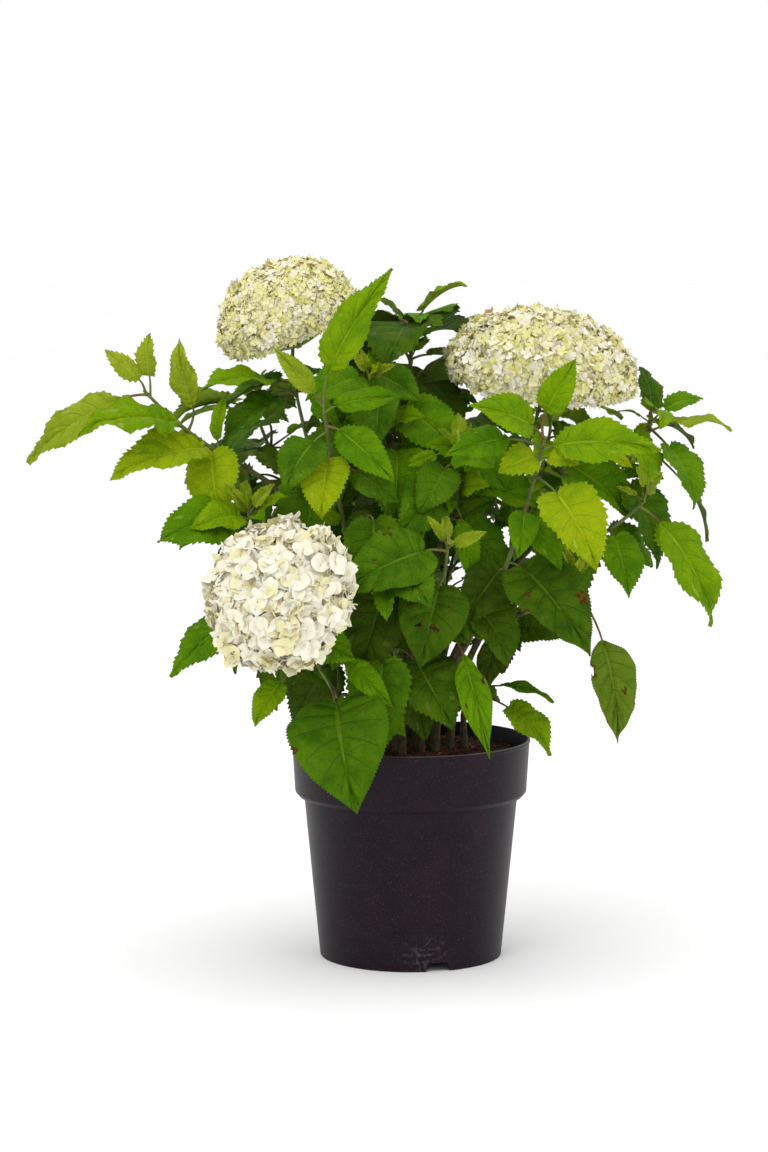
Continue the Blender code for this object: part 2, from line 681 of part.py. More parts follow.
def paired_leaf(shoot, corners, pair, side, trial):
    """One leaf of an opposite pair. Later trials stray further from the pair's own direction."""
    draw = random.Random(SEED + 7919 * SHOOTS.index(shoot) + 613 * pair + 97 * side + trial)
    height = pair / max(shoot.pairs - 1, 1)
    node, along = bezier(corners, FIRST_NODE + (LAST_NODE - FIRST_NODE) * height)
    turn = math.radians(shoot.turn + 90 * pair + 180 * side)
    stray = TURN_STRAY + TRIAL_TURN * trial
    turn += draw.uniform(-stray, stray)
    across = Matrix.Rotation(turn, 3, along) @ along.orthogonal().normalized()
    spread = math.radians(LOW_SPREAD - SPREAD_LOSS * height)
    petiole_way = across * math.sin(spread) + along * math.cos(spread)
    length = shoot.leaf * (LOW_LENGTH - LENGTH_LOSS * height) * draw.uniform(*LENGTH_RANGE)
    petiole = length * draw.uniform(*PETIOLE_RANGE) * (LOW_PETIOLE - PETIOLE_LOSS * height)
    outward = Vector((node.x, node.y, 0.0)).normalized()
    heading = across + outward * OUTWARD_PULL
    heading.z = 0.0
    heading.normalize()
    stray = draw.uniform(-PITCH_STRAY, PITCH_STRAY)
    pitch = math.radians(LOW_PITCH + PITCH_GAIN * height + stray - TRIAL_PITCH * trial)
    chord = heading * math.cos(pitch) + UP * math.sin(pitch)
    base = node + petiole_way * petiole
    face = face_of(chord, base, draw.uniform(*ROLL_RANGE))
    width = length * draw.uniform(*WIDTH_RANGE)
    root = node + petiole_way * ROOT_START
    droop = draw.uniform(*DROOP_RANGE)
    return Leaf(root, base, chord, face, length, width, droop, draw.uniform(*FOLD_RANGE))


# The crown: what is taken, and what may still grow


class Room:
    """The room that a skin takes: its box, and a tree of its faces."""

    def __init__(self, skin):
        points, faces = skin
        self.low = [min(point[axis] for point in points) for axis in range(3)]
        self.high = [max(point[axis] for point in points) for axis in range(3)]
        self.tree = BVHTree.FromPolygons(points, faces)

    def touches(self, other):
        for axis in range(3):
            if self.low[axis] > other.high[axis] or self.high[axis] < other.low[axis]:
                return False
        return bool(self.tree.overlap(other.tree))


class Crown:
    """Everything placed so far, so that a leaf that would touch a neighbour isn't grown."""

    def __init__(self):
        self.taken = []

    def add(self, skin, owner):
        self.taken.append((owner, Room(skin)))

    def neighbours(self, skin, shoot, own):
        """What a skin touches, among its own shoot's solids or among all the others."""
        room = Room(skin)
        return [owner for owner, other in self.taken if (owner == shoot) == own and room.touches(other)]


def crosses_itself(skin):
    points, faces = skin
    tree = BVHTree.FromPolygons(points, faces)
    return any(not set(faces[one]) & set(faces[other]) for one, other in tree.overlap(tree))


def leaf_fits(crown, leaf, shoot):
    """Whether a leaf keeps clear of the limbs, the pot, the blooms and the other shoots."""
    whole = leaf_skin(leaf, ROOM)
    return not crosses_itself(whole) and not crown.neighbours(whole, shoot.name, False)


def has_room(crown, leaf, shoot):
    """Whether a leaf also keeps clear of its own shoot's leaves, and past its root of the stem."""
    past_the_root = leaf_skin(leaf, ROOM, ROOT_LENGTH / (leaf.base - leaf.root).length)
    return leaf_fits(crown, leaf, shoot) and not crown.neighbours(past_the_root, shoot.name, True)


def above_underside(leaf):
    """Whether a leaf ends above the crown's underside, which rises outward like a shallow bowl."""
    tip = blade_at(leaf, 1.0)[0]
    beyond = max(math.hypot(tip.x, tip.y) - UNDERSIDE_RADIUS, 0.0)
    return tip.z > UNDERSIDE_LEVEL + UNDERSIDE_SLOPE * beyond


def grow_leaves(crown, stems):
    """The leaves of every shoot: first those that are posed, then the pairs."""
    leaves = {shoot.name: [] for shoot in SHOOTS}
    by_name = {shoot.name: shoot for shoot in SHOOTS}
    for posed in POSED_LEAVES:
        leaf = posed_leaf(posed, stems[posed.shoot])
        if has_room(crown, leaf, by_name[posed.shoot]):
            leaves[posed.shoot].append(leaf)
            crown.add(leaf_skin(leaf), posed.shoot)
    for shoot in SHOOTS:
        for pair in range(shoot.pairs):
            for side in range(2):
                for trial in range(TRIALS):
                    leaf = paired_leaf(shoot, stems[shoot.name], pair, side, trial)
                    if above_underside(leaf) and has_room(crown, leaf, shoot):
                        leaves[shoot.name].append(leaf)
                        crown.add(leaf_skin(leaf), shoot.name)
                        break
    return leaves


# Blooms


def dome_point(bloom, polar, around, grown=0.0):
    """A point on a bloom's dome: a tall cap above its middle and a shallow skirt below it."""
    axis = axis_of(bloom)
    across = axis.orthogonal().normalized()
    beside = axis.cross(across)
    rise = bloom.crown if math.cos(polar) > 0 else bloom.skirt
    flat = (across * math.cos(around) + beside * math.sin(around)) * math.sin(polar)
    radius = bloom.radius + grown
    return middle_of(bloom) + flat * radius + axis * math.cos(polar) * (rise + grown)


def dome_skin(bloom, grown):
    points = [dome_point(bloom, 0.0, 0.0, grown)]
    for ring in range(1, CORE_RINGS):
        for side in range(CORE_SIDES):
            polar = math.pi * ring / CORE_RINGS
            around = FULL_TURN * (side + 0.5 * ring) / CORE_SIDES
            points.append(dome_point(bloom, polar, around, grown))
    points.append(dome_point(bloom, math.pi, 0.0, grown))
    last = len(points) - 1
    faces = []
    for side in range(CORE_SIDES):
        after = (side + 1) % CORE_SIDES
        faces.append((0, 1 + side, 1 + after))
        faces.append((last, last - CORE_SIDES + after, last - CORE_SIDES + side))
        for ring in range(CORE_RINGS - 2):
            low = 1 + ring * CORE_SIDES
            high = low + CORE_SIDES
            faces.append((low + side, high + side, low + after))
            faces.append((low + after, high + side, high + after))
    return points, faces


def floret_skin(bloom, number):
    """A four-petalled floret whose root runs down into the core."""
    cap = 1.0 - math.cos(math.radians(bloom.spread))
    polar = math.acos(1.0 - cap * (number + 0.5) / bloom.florets)
    around = GOLDEN_ANGLE * number
    seat = dome_point(bloom, polar, around, -FLORET_RISE)
    out = (dome_point(bloom, polar, around, FLORET_RISE) - seat).normalized()
    across = out.orthogonal().normalized()
    beside = out.cross(across)
    twist = FLORET_TWIST * number
    points = [seat - out * FLORET_ROOT, seat + out * (FLORET_RISE + FLORET_THICKNESS)]
    for corner in range(8):
        angle = twist + FULL_TURN * corner / 8
        radius = FLORET_RADIUS if corner % 2 == 0 else FLORET_RADIUS * NOTCH_SHARE
        rim = (across * math.cos(angle) + beside * math.sin(angle)) * radius
        points.append(seat + out * FLORET_RISE + rim)
    faces = []
    for corner in range(8):
        after = (corner + 1) % 8
        faces.append((0, 2 + after, 2 + corner))
        faces.append((1, 2 + corner, 2 + after))
    return points, faces


def stalk_corners(bloom, stems):
    """From the shoot's tip, 0.3 mm clear of it, up into the bloom's core."""
    tip, way = bezier(stems[bloom.shoot], 1.0)
    start = tip + way * CLEAR
    axis = axis_of(bloom)
    end = middle_of(bloom) + axis * CLEAR
    run = (end - start).length
    return start, start + way * STALK_BEND * run, end - axis * STALK_BEND * run, end


def stalk_skin(bloom, stems):
    return tube(stalk_corners(bloom, stems), (TIP_RADIUS, STALK_RADIUS), STEM_SIDES, STEM_STEPS)


def make_bloom(bloom, stems, material):
    """The stalk, the core and the florets, joined."""
    core = add_object("bloom_" + bloom.name, *dome_skin(bloom, -FLORET_RISE), material)
    others = [add_object("stalk", *stalk_skin(bloom, stems), material)]
    for number in range(bloom.florets):
        others.append(add_object("floret", *floret_skin(bloom, number), material))
    boolean_with(core, others, "UNION")


def make_foliage(shoot, stem, leaves, material):
    """A shoot's stem and leaves, joined."""
    mass = add_object("foliage_" + shoot.name, *stem_skin(stem), material)
    others = [add_object("leaf", *leaf_skin(leaf), material) for leaf in leaves]
    boolean_with(mass, others, "UNION")


def pot_space():
    """The closed room that the pot takes, which no leaf enters."""
    points = []
    for height in (0.0, POT_HEIGHT - BAND_DEPTH, POT_HEIGHT + LEAF_TO_POT):
        radius = wall_radius(height) + LEAF_TO_POT
        for side in range(SPACE_SIDES):
            angle = FULL_TURN * side / SPACE_SIDES
            points.append(Vector((radius * math.cos(angle), radius * math.sin(angle), height)))
    last_ring = len(points) - SPACE_SIDES
    faces = [tuple(range(SPACE_SIDES)), tuple(range(last_ring, len(points)))]
    for low in range(0, last_ring, SPACE_SIDES):
        for side in range(SPACE_SIDES):
            after = (side + 1) % SPACE_SIDES
            faces.append((low + side, low + after, low + SPACE_SIDES + after, low + SPACE_SIDES + side))
    return points, faces


def main():
    clear_scene()
    plastic = make_material("black_plastic", (0.012, 0.011, 0.015), 0.45)
    bark = make_material("bark_medium", (0.12, 0.045, 0.02), 0.95)
    wood = make_material("cane_wood", (0.16, 0.12, 0.05), 0.75)
    green = make_material("leaf_green", (0.09, 0.25, 0.02), 0.55)
    cream = make_material("petal_cream", (0.82, 0.83, 0.66), 0.7)
    make_pot(plastic)
    make_growing_medium(bark)
    curves = {}
    stems = {}
    crown = Crown()
    for shoot in SHOOTS:
        curves[shoot.name] = bough_corners(shoot, curves)
        stems[shoot.name] = stem_corners(shoot)
        limb = tube(*curves[shoot.name], LIMB_SIDES, LIMB_STEPS)
        kind = "cane_" if shoot.carrier is None else "side_bough_"
        add_object(kind + shoot.name, *limb, wood)
        crown.add(limb, "limbs")
        crown.add(stem_skin(stems[shoot.name]), shoot.name)
    for bloom in BLOOMS:
        crown.add(dome_skin(bloom, FLORET_RISE + LEAF_TO_BLOOM), "blooms")
        crown.add(stalk_skin(bloom, stems), "blooms")
    crown.add(pot_space(), "pot")
    leaves = grow_leaves(crown, stems)
    for shoot in SHOOTS:
        make_foliage(shoot, stems[shoot.name], leaves[shoot.name], green)
    for bloom in BLOOMS:
        make_bloom(bloom, stems, cream)


main()
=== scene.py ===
"""The looks of a smooth hydrangea with three mophead blooms, in a black nursery pot of bark.

The shoots, their leaves and the blooms grow by the same rule as the part's own solids, written again
here, and are carried finer: toothed and veined leaves on their petioles, young leaves in the axils,
blooms of many florets on their pedicels, canes with bark, and shredded bark in the pot.

Metres, +Z up. The origin is the middle of the pot's flat underside. The plant's front is at -Y.
A bearing is in degrees round the pot's axis: 0 is the front, 90 is +X and 180 is the back.
"""

import math
import random
from collections import namedtuple

import bpy
import numpy as np
from mathutils import Matrix, Vector, noise
from mathutils.bvhtree import BVHTree


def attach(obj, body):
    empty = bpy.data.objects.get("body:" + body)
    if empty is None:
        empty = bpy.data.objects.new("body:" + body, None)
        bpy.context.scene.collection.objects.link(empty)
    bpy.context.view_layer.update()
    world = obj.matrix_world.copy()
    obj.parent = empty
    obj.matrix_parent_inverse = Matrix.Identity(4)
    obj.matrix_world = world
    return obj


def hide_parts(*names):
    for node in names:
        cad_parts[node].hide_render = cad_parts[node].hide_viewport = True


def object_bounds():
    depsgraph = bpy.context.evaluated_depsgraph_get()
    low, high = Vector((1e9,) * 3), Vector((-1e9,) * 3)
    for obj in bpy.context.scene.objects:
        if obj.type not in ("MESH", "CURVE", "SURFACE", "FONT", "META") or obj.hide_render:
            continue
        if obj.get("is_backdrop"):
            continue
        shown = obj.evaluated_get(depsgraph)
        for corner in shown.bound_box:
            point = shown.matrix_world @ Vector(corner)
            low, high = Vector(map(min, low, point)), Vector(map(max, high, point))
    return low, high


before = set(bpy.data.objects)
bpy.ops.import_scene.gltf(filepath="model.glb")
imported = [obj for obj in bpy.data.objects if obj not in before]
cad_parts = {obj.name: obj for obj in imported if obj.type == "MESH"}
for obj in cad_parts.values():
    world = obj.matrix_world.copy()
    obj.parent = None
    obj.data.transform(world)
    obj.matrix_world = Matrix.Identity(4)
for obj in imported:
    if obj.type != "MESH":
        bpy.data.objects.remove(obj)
cad_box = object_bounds()

UP = Vector((0.0, 0.0, 1.0))
CLEAR = 0.0003
BEND_SHARE = 0.667
FULL_TURN = 2.0 * math.pi

# The pot
POT_HEIGHT = 0.229
POT_TOP_RADIUS = 0.125
POT_FOOT_RADIUS = 0.0950
POT_WALL = 0.002
BAND_DEPTH = 0.061
BAND_FOOT_RADIUS = 0.1205
SHOULDER_STEP = 0.009
LIP_HEIGHT = 0.004
DISC_RADIUS = 0.055
CHANNEL_RISE = 0.010
CHANNEL_LEAN = 0.004
CHANNEL_STEP = 0.001
POT_CORNER = 0.0006
LEDGE_RISE = 0.0012
BAND_EASE = 0.006
BAND_EASE_INSIDE = 0.008
NOTCH_COUNT = 3
NOTCH_WIDTH = 0.026
NOTCH_TOP_WIDTH = 0.019
NOTCH_HEIGHT = 0.0092
NOTCH_DEPTH = 0.008
FIRST_NOTCH = math.radians(-73.0)
DRAIN_COUNT = 6
DRAIN_RADIUS = 0.006
DRAIN_RING = 0.073
CUTTER_OVERRUN = 0.003

# The growing medium
SOIL_LEVEL = 0.216
SOIL_EDGE_LEVEL = 0.209
SOIL_FLAT_RADIUS = 0.078

# Canes and side boughs. A side bough leaves its cane at SIDE_SHARE, which is one of the cane's steps.
CANE_RADIUS = 0.0042
BOUGH_RADIUS = 0.0032
FORK_RADIUS = 0.0025
LIMB_SIDES = 6
LIMB_STEPS = 4
CANE_RISE = 0.40
FORK_RUN = 0.30
SIDE_SHARE = 0.50

# Leafy stems
TIP_RADIUS = 0.0016
STEM_SIDES = 5
STEM_STEPS = 3
STEM_SAG = 0.20
FIRST_NODE = 0.10
LAST_NODE = 0.94

# Leaves
PETIOLE_RADIUS = 0.0012
LEAF_THICKNESS = 0.013
BLADE_STATIONS = ((0.20, 0.92), (0.58, 0.78))
OUTWARD_LIGHT = 0.55
FRONT_LIGHT = 1.5
LIT_DEPTH = 0.16
POSED_LIFT = 26
POSED_DROOP = 0.75
POSED_FOLD = 0.28
LOW_PITCH = -54
PITCH_GAIN = 36
PITCH_STRAY = 12
TRIAL_PITCH = 3
TURN_STRAY = 0.25
TRIAL_TURN = 0.15
LOW_SPREAD = 74
SPREAD_LOSS = 30
LOW_LENGTH = 1.12
LENGTH_LOSS = 0.38
OUTWARD_PULL = 0.60
LENGTH_RANGE = (0.88, 1.10)
PETIOLE_RANGE = (0.30, 0.50)
LOW_PETIOLE = 1.1
PETIOLE_LOSS = 0.4
WIDTH_RANGE = (0.62, 0.82)
DROOP_RANGE = (0.35, 0.90)
FOLD_RANGE = (0.15, 0.42)
ROLL_RANGE = (-0.35, 0.35)
SEED = 41
SHOOT_SEED = 7919
PAIR_SEED = 613
SIDE_SEED = 97
TRIALS = 10
ROOM = 0.0010
ROOT_START = 0.0004
ROOT_LENGTH = 0.009
UNDERSIDE_LEVEL = 0.225
UNDERSIDE_RADIUS = 0.16
UNDERSIDE_SLOPE = 1.8
LEAF_TO_POT = 0.003
LEAF_TO_BLOOM = 0.002
SPACE_SIDES = 24

# Blooms
STALK_RADIUS = 0.0022
CORE_SIDES = 9
CORE_RINGS = 5
FLORET_RISE = 0.0055
STALK_BEND = 0.35
GOLDEN_ANGLE = math.radians(137.508)

Shoot = namedtuple("Shoot", "name carrier foot bearing reach height length lean pairs leaf turn")
Tier = namedtuple("Tier", "name foot first spacing reach height length lean pairs leaf")
Leaf = namedtuple("Leaf", "root base chord face length width droop fold")
Posed = namedtuple("Posed", "shoot node bearing pitch petiole length width tone")
Bloom = namedtuple(
    "Bloom", "name shoot bearing reach height lean heading radius crown skirt spread"
)

# Each leafy shoot: the shoot whose cane carries it, or None for the soil, and how far out its foot
# stands there. Then where its leaves start: the bearing, how far out and how high. Then the stem's
# length and how far it leans outward in degrees, its pairs of leaves, their length and first turn.
FRONT_SHOOTS = (
    Shoot("left_top", None, 0.036, -80, 0.175, 0.515, 0.13, 52, 0, 0.080, 50),
    Shoot("left_bloom", None, 0.018, -95, 0.09, 0.48, 0.12, 15, 2, 0.090, 60),
    Shoot("left_side", None, 0.052, -65, 0.12, 0.38, 0.11, 35, 2, 0.070, 80),
    Shoot("front_left", None, 0.030, -40, 0.10, 0.44, 0.15, 15, 1, 0.080, 35),
    Shoot("top_back", None, 0.014, 180, 0.05, 0.51, 0.150, 5, 5, 0.108, 10),
    Shoot("top_front", "top_back", 0, -45, 0.03, 0.52, 0.09, 20, 4, 0.085, 50),
    Shoot("middle", None, 0.012, 30, 0.06, 0.44, 0.10, 20, 3, 0.085, 75),
    Shoot("right_bloom", None, 0.022, 85, 0.12, 0.46, 0.09, 15, 3, 0.095, 40),
    Shoot("right_top", "right_bloom", 0, 100, 0.20, 0.49, 0.09, 40, 3, 0.090, 15),
    Shoot("right_low", None, 0.042, 80, 0.17, 0.43, 0.09, 55, 0, 0.076, 10),
    Shoot("front_right", None, 0.036, 45, 0.13, 0.41, 0.155, 22, 0, 0.085, 30),
    Shoot("front_middle", None, 0.040, 15, 0.10, 0.36, 0.09, 25, 1, 0.070, 95),
    Shoot("low_right", "front_right", 0, 55, 0.14, 0.37, 0.07, 60, 0, 0.080, 140),
    Shoot("low_left", None, 0.046, -40, 0.11, 0.28, 0.08, 40, 2, 0.080, 60),
    Shoot("low_middle", None, 0.052, -10, 0.09, 0.325, 0.09, 20, 3, 0.090, 65),
    Shoot("rim_right", None, 0.056, 90, 0.06, 0.27, 0.08, 25, 2, 0.075, 45),
)

# The shoots on the far side stand in two tiers, evenly spaced round the back.
BACK_TIERS = (
    Tier("back", 0.036, 140, 45, 0.14, 0.44, 0.15, 32, 4, 0.110),
    Tier("low_back", 0.054, 160, 45, 0.09, 0.36, 0.11, 42, 4, 0.095),
)
BACK_PLACES = ("right", "middle", "left")
TIER_TURN = 30

# Leaves that are posed one by one: the shoot, the share along its stem, the blade's bearing and its
# pitch above level in degrees, the petiole's and the blade's length, the width as a share, its tone.
POSED_LEAVES = (
    Posed("left_top", 0.95, -100, -34, 0.028, 0.126, 0.38, "young"),
    Posed("left_top", 0.54, -50, -1, 0.018, 0.122, 0.44, "bright"),
    Posed("left_top", 0.27, -58, -14, 0.012, 0.116, 0.54, "lime"),
    Posed("left_top", 0.99, -100, 40, 0.012, 0.050, 0.42, "young"),
    Posed("left_top", 0.93, 10, 80, 0.022, 0.046, 0.54, "young"),
    Posed("left_top", 0.53, -60, 77, 0.026, 0.074, 0.40, "young"),
    Posed("left_top", 0.22, 60, 75, 0.014, 0.052, 0.36, "bright"),
    Posed("left_top", 0.32, 25, -66, 0.010, 0.080, 0.72, "lime"),
    Posed("left_top", 0.12, -150, -25, 0.020, 0.080, 0.66, "deep"),
    Posed("left_side", 0.90, -75, -15, 0.025, 0.080, 0.74, "fresh"),
    Posed("left_bloom", 0.93, -60, -36, 0.020, 0.088, 0.56, "green"),
    Posed("left_bloom", 0.91, -50, -3, 0.040, 0.092, 0.50, "bright"),
    Posed("front_left", 0.97, 65, 56, 0.035, 0.130, 0.34, "bright"),
    Posed("front_left", 0.74, -85, 48, 0.050, 0.064, 0.36, "young"),
    Posed("front_left", 0.93, 75, 8, 0.014, 0.074, 0.36, "fresh"),
    Posed("front_left", 0.84, 60, -38, 0.016, 0.085, 0.46, "fresh"),
    Posed("front_left", 0.80, -50, -54, 0.022, 0.060, 0.78, "green"),
    Posed("front_left", 0.66, -12, -62, 0.014, 0.066, 0.76, "lime"),
    Posed("front_left", 0.55, 68, -33, 0.027, 0.056, 0.62, "green"),
    Posed("top_back", 0.99, -12, -24, 0.020, 0.105, 0.82, "deep"),
    Posed("top_back", 0.80, -75, -10, 0.028, 0.070, 0.66, "shade"),
    Posed("top_back", 0.86, 140, -4, 0.020, 0.095, 0.80, "green"),
    Posed("top_back", 0.70, -100, -24, 0.030, 0.090, 0.76, "shade"),
    Posed("top_back", 0.62, 25, -38, 0.026, 0.090, 0.76, "shade"),
    Posed("middle", 0.90, -50, -50, 0.018, 0.058, 0.74, "green"),
    Posed("middle", 0.50, 35, -72, 0.028, 0.074, 0.36, "fresh"),
    Posed("middle", 0.28, 100, -50, 0.020, 0.072, 0.66, "green"),
    Posed("middle", 0.12, -70, -14, 0.028, 0.066, 0.62, "bright"),
    Posed("front_right", 0.90, 78, -2, 0.014, 0.110, 0.44, "bright"),
    Posed("right_bloom", 0.72, 52, -6, 0.020, 0.095, 0.34, "lime"),
    Posed("front_right", 0.98, -55, 16, 0.022, 0.083, 0.54, "bright"),
    Posed("front_right", 0.96, 75, 60, 0.032, 0.062, 0.54, "bright"),
    Posed("front_right", 0.92, -65, -12, 0.042, 0.072, 0.48, "fresh"),
    Posed("front_right", 0.86, -60, -20, 0.008, 0.046, 0.75, "lime"),
    Posed("front_right", 0.84, 70, -12, 0.010, 0.034, 0.60, "lime"),
    Posed("front_right", 0.72, 52, -56, 0.031, 0.092, 0.70, "lime"),
    Posed("front_right", 0.52, -15, -58, 0.014, 0.052, 0.62, "fresh"),
    Posed("front_right", 0.45, 60, -56, 0.012, 0.060, 0.56, "fresh"),
    Posed("front_right", 0.10, 46, -42, 0.026, 0.120, 0.66, "deep"),
    Posed("front_right", 0.05, -60, -50, 0.010, 0.070, 0.70, "shade"),
    Posed("back_right", 0.97, 95, 48, 0.020, 0.070, 0.50, "fresh"),
    Posed("right_top", 0.80, 90, -4, 0.030, 0.068, 0.44, "young"),
    Posed("right_top", 0.90, 45, -60, 0.035, 0.075, 0.72, "fresh"),
    Posed("right_top", 0.97, 125, -34, 0.016, 0.052, 0.66, "deep"),
    Posed("right_top", 0.70, 105, -66, 0.060, 0.078, 0.34, "olive"),
    Posed("right_low", 0.90, 80, -62, 0.026, 0.126, 0.42, "bright"),
    Posed("right_low", 0.30, 130, -30, 0.020, 0.072, 0.66, "fresh"),
    Posed("right_low", 0.48, 20, -58, 0.015, 0.070, 0.70, "fresh"),
    Posed("low_right", 0.92, 50, -79, 0.066, 0.106, 0.46, "olive"),
    Posed("front_middle", 0.96, -75, -24, 0.025, 0.098, 0.68, "green"),
    Posed("front_middle", 0.62, -40, -70, 0.012, 0.086, 0.84, "deep"),
    Posed("front_middle", 0.12, 35, -66, 0.055, 0.112, 0.30, "fresh"),
    Posed("low_middle", 0.92, -80, -73, 0.012, 0.100, 0.62, "shade"),
    Posed("low_middle", 0.05, 60, -74, 0.022, 0.075, 0.70, "shade"),
    Posed("low_left", 0.97, 62, -40, 0.045, 0.068, 0.40, "fresh"),
    Posed("low_middle", 0.15, 45, -50, 0.034, 0.085, 0.76, "deep"),
    Posed("left_side", 0.06, -88, -42, 0.062, 0.104, 0.46, "fresh"),
    Posed("low_left", 0.60, 20, -58, 0.055, 0.121, 0.86, "green"),
    Posed("low_left", 0.80, -60, -55, 0.045, 0.054, 0.55, "bright"),
    Posed("low_left", 0.12, 62, -36, 0.038, 0.052, 0.70, "fresh"),
    Posed("rim_right", 0.97, -60, -72, 0.010, 0.062, 0.50, "shade"),
    Posed("rim_right", 0.09, 60, -42, 0.046, 0.070, 0.58, "bright"),
    Posed("rim_right", 0.13, 72, -14, 0.030, 0.062, 0.26, "fresh"),
)
FINE_LEAVES = (
    Posed("right_top", 0.99, -165, 46, 0.016, 0.056, 0.64, "deep"),
)

# Each bloom: the shoot it crowns, its middle, how far its axis leans from upright and to which
# bearing, its radius, how far the dome rises and its skirt hangs, and how far round the dome its
# florets go in degrees.
BLOOMS = (
    Bloom("left", "left_bloom", -100, 0.13, 0.666, 22, -75, 0.077, 0.062, 0.042, 116),
    Bloom("right", "right_bloom", 95, 0.135, 0.613, 8, 60, 0.102, 0.067, 0.048, 118),
    Bloom("low", "low_left", -33, 0.235, 0.398, 62, -30, 0.080, 0.074, 0.052, 125),
)


def direction(bearing, pitch=0.0):
    """The way to a bearing, raised above level by pitch, both in degrees."""
    turn = math.radians(bearing)
    rise = math.radians(pitch)
    level = Vector((math.sin(turn), -math.cos(turn), 0.0))
    return level * math.cos(rise) + UP * math.sin(rise)


def tier_shoots(tier):
    """The shoots of one tier, each as far round from the last."""
    made = []
    for count, side in enumerate(BACK_PLACES):
        name = tier.name + "_" + side
        bearing = tier.first + tier.spacing * count
        place = (bearing, tier.reach, tier.height, tier.length, tier.lean)
        made.append(Shoot(name, None, tier.foot, *place, tier.pairs, tier.leaf, TIER_TURN * count))
    return tuple(made)


SHOOTS = FRONT_SHOOTS + tier_shoots(BACK_TIERS[0]) + tier_shoots(BACK_TIERS[1])


def fork_of(shoot):
    return direction(shoot.bearing) * shoot.reach + UP * shoot.height


def tip_of(shoot):
    return fork_of(shoot) + direction(shoot.bearing, 90 - shoot.lean) * shoot.length


def middle_of(bloom):
    return direction(bloom.bearing) * bloom.reach + UP * bloom.height


def axis_of(bloom):
    return direction(bloom.heading, 90 - bloom.lean)


def bands(sides, steps, first=0, flipped=False):
    """The four-cornered faces between rings of points, from one ring up to the next."""
    faces = []
    for step in range(steps):
        low = first + step * sides
        high = low + sides
        for side in range(sides):
            after = (side + 1) % sides
            near, far = (high + side, low + after) if flipped else (low + after, high + side)
            faces.append((low + side, near, high + after, far))
    return faces


def circle(radius, height, sides):
    """A level ring of points round the pot's axis."""
    angles = [FULL_TURN * side / sides for side in range(sides)]
    return [(radius * math.cos(angle), radius * math.sin(angle), height) for angle in angles]


# The pot's own shape


def wall_radius(height):
    """The pot's outer radius at a height, below and above the shoulder under its rim band."""
    band_foot = POT_HEIGHT - BAND_DEPTH
    body_top_radius = BAND_FOOT_RADIUS - SHOULDER_STEP
    if height <= band_foot:
        return POT_FOOT_RADIUS + (body_top_radius - POT_FOOT_RADIUS) * height / band_foot
    share = (height - band_foot) / BAND_DEPTH
    return BAND_FOOT_RADIUS + (POT_TOP_RADIUS - BAND_FOOT_RADIUS) * share


def pot_profile():
    band_foot = POT_HEIGHT - BAND_DEPTH
    shoulder = wall_radius(band_foot)
    lip_foot = POT_HEIGHT - LIP_HEIGHT
    floor = CHANNEL_RISE + POT_WALL
    outside = [
        (0.0, 0.0),
        (DISC_RADIUS, 0.0),
        (DISC_RADIUS + CHANNEL_LEAN, CHANNEL_RISE),
        (wall_radius(CHANNEL_RISE) - POT_WALL - CHANNEL_STEP, CHANNEL_RISE),
        (POT_FOOT_RADIUS - POT_WALL, 0.0),
        (POT_FOOT_RADIUS - POT_CORNER, 0.0),
        (wall_radius(LEDGE_RISE), LEDGE_RISE),
        (shoulder, band_foot),
        (shoulder + 0.6 * SHOULDER_STEP, band_foot + LEDGE_RISE),
        (wall_radius(band_foot + BAND_EASE), band_foot + BAND_EASE),
        (wall_radius(lip_foot) - POT_CORNER, lip_foot),
        (POT_TOP_RADIUS, lip_foot + CHANNEL_STEP),
        (POT_TOP_RADIUS, POT_HEIGHT - POT_CORNER),
        (POT_TOP_RADIUS - POT_CORNER, POT_HEIGHT),
    ]
    inside = [
        (POT_TOP_RADIUS - POT_WALL - POT_CORNER, POT_HEIGHT),
        (wall_radius(band_foot + BAND_EASE_INSIDE) - POT_WALL, band_foot + BAND_EASE_INSIDE),
        (shoulder - POT_WALL, band_foot - CHANNEL_STEP),
        (wall_radius(floor) - POT_WALL, floor),
        (DISC_RADIUS + CHANNEL_LEAN - POT_WALL, floor),
        (DISC_RADIUS - POT_WALL, POT_WALL),
        (0.0, POT_WALL),
    ]
    return outside + inside


# Limbs


def bezier(corners, share):
    """The point and the direction at a share along a cubic curve."""
    a, b, c, d = corners
    rest = 1.0 - share
    point = a * rest**3 + b * (3 * rest * rest * share) + c * (3 * rest * share * share) + d * share**3
    way = (b - a) * (rest * rest) + (c - b) * (2 * rest * share) + (d - c) * (share * share)
    return point, way.normalized()


def bent(start, bend, end):
    """The corners of a curve that bends once, toward a point."""
    return start, start.lerp(bend, BEND_SHARE), end.lerp(bend, BEND_SHARE), end


def limb_rings(corners, sides, steps):
    """Along a curve: each step's share and centre, and its angles with their ways to the skin."""
    across = bezier(corners, 0.0)[1].orthogonal().normalized()
    angles = [FULL_TURN * side / sides for side in range(sides)]
    for step in range(steps + 1):
        share = step / steps
        centre, way = bezier(corners, share)
        across = (across - way * across.dot(way)).normalized()
        beside = way.cross(across)
        ways = [across * math.cos(angle) + beside * math.sin(angle) for angle in angles]
        yield share, centre, zip(angles, ways)


def tube(corners, radii, sides, steps):
    """The skin of a tapering limb along a cubic curve, with flat ends."""
    points = []
    for share, centre, ways in limb_rings(corners, sides, steps):
        radius = radii[0] + (radii[1] - radii[0]) * share
        points += [centre + way * radius for angle, way in ways]
    ends = [tuple(range(sides - 1, -1, -1)), tuple(range(steps * sides, (steps + 1) * sides))]
    return points, ends + bands(sides, steps)


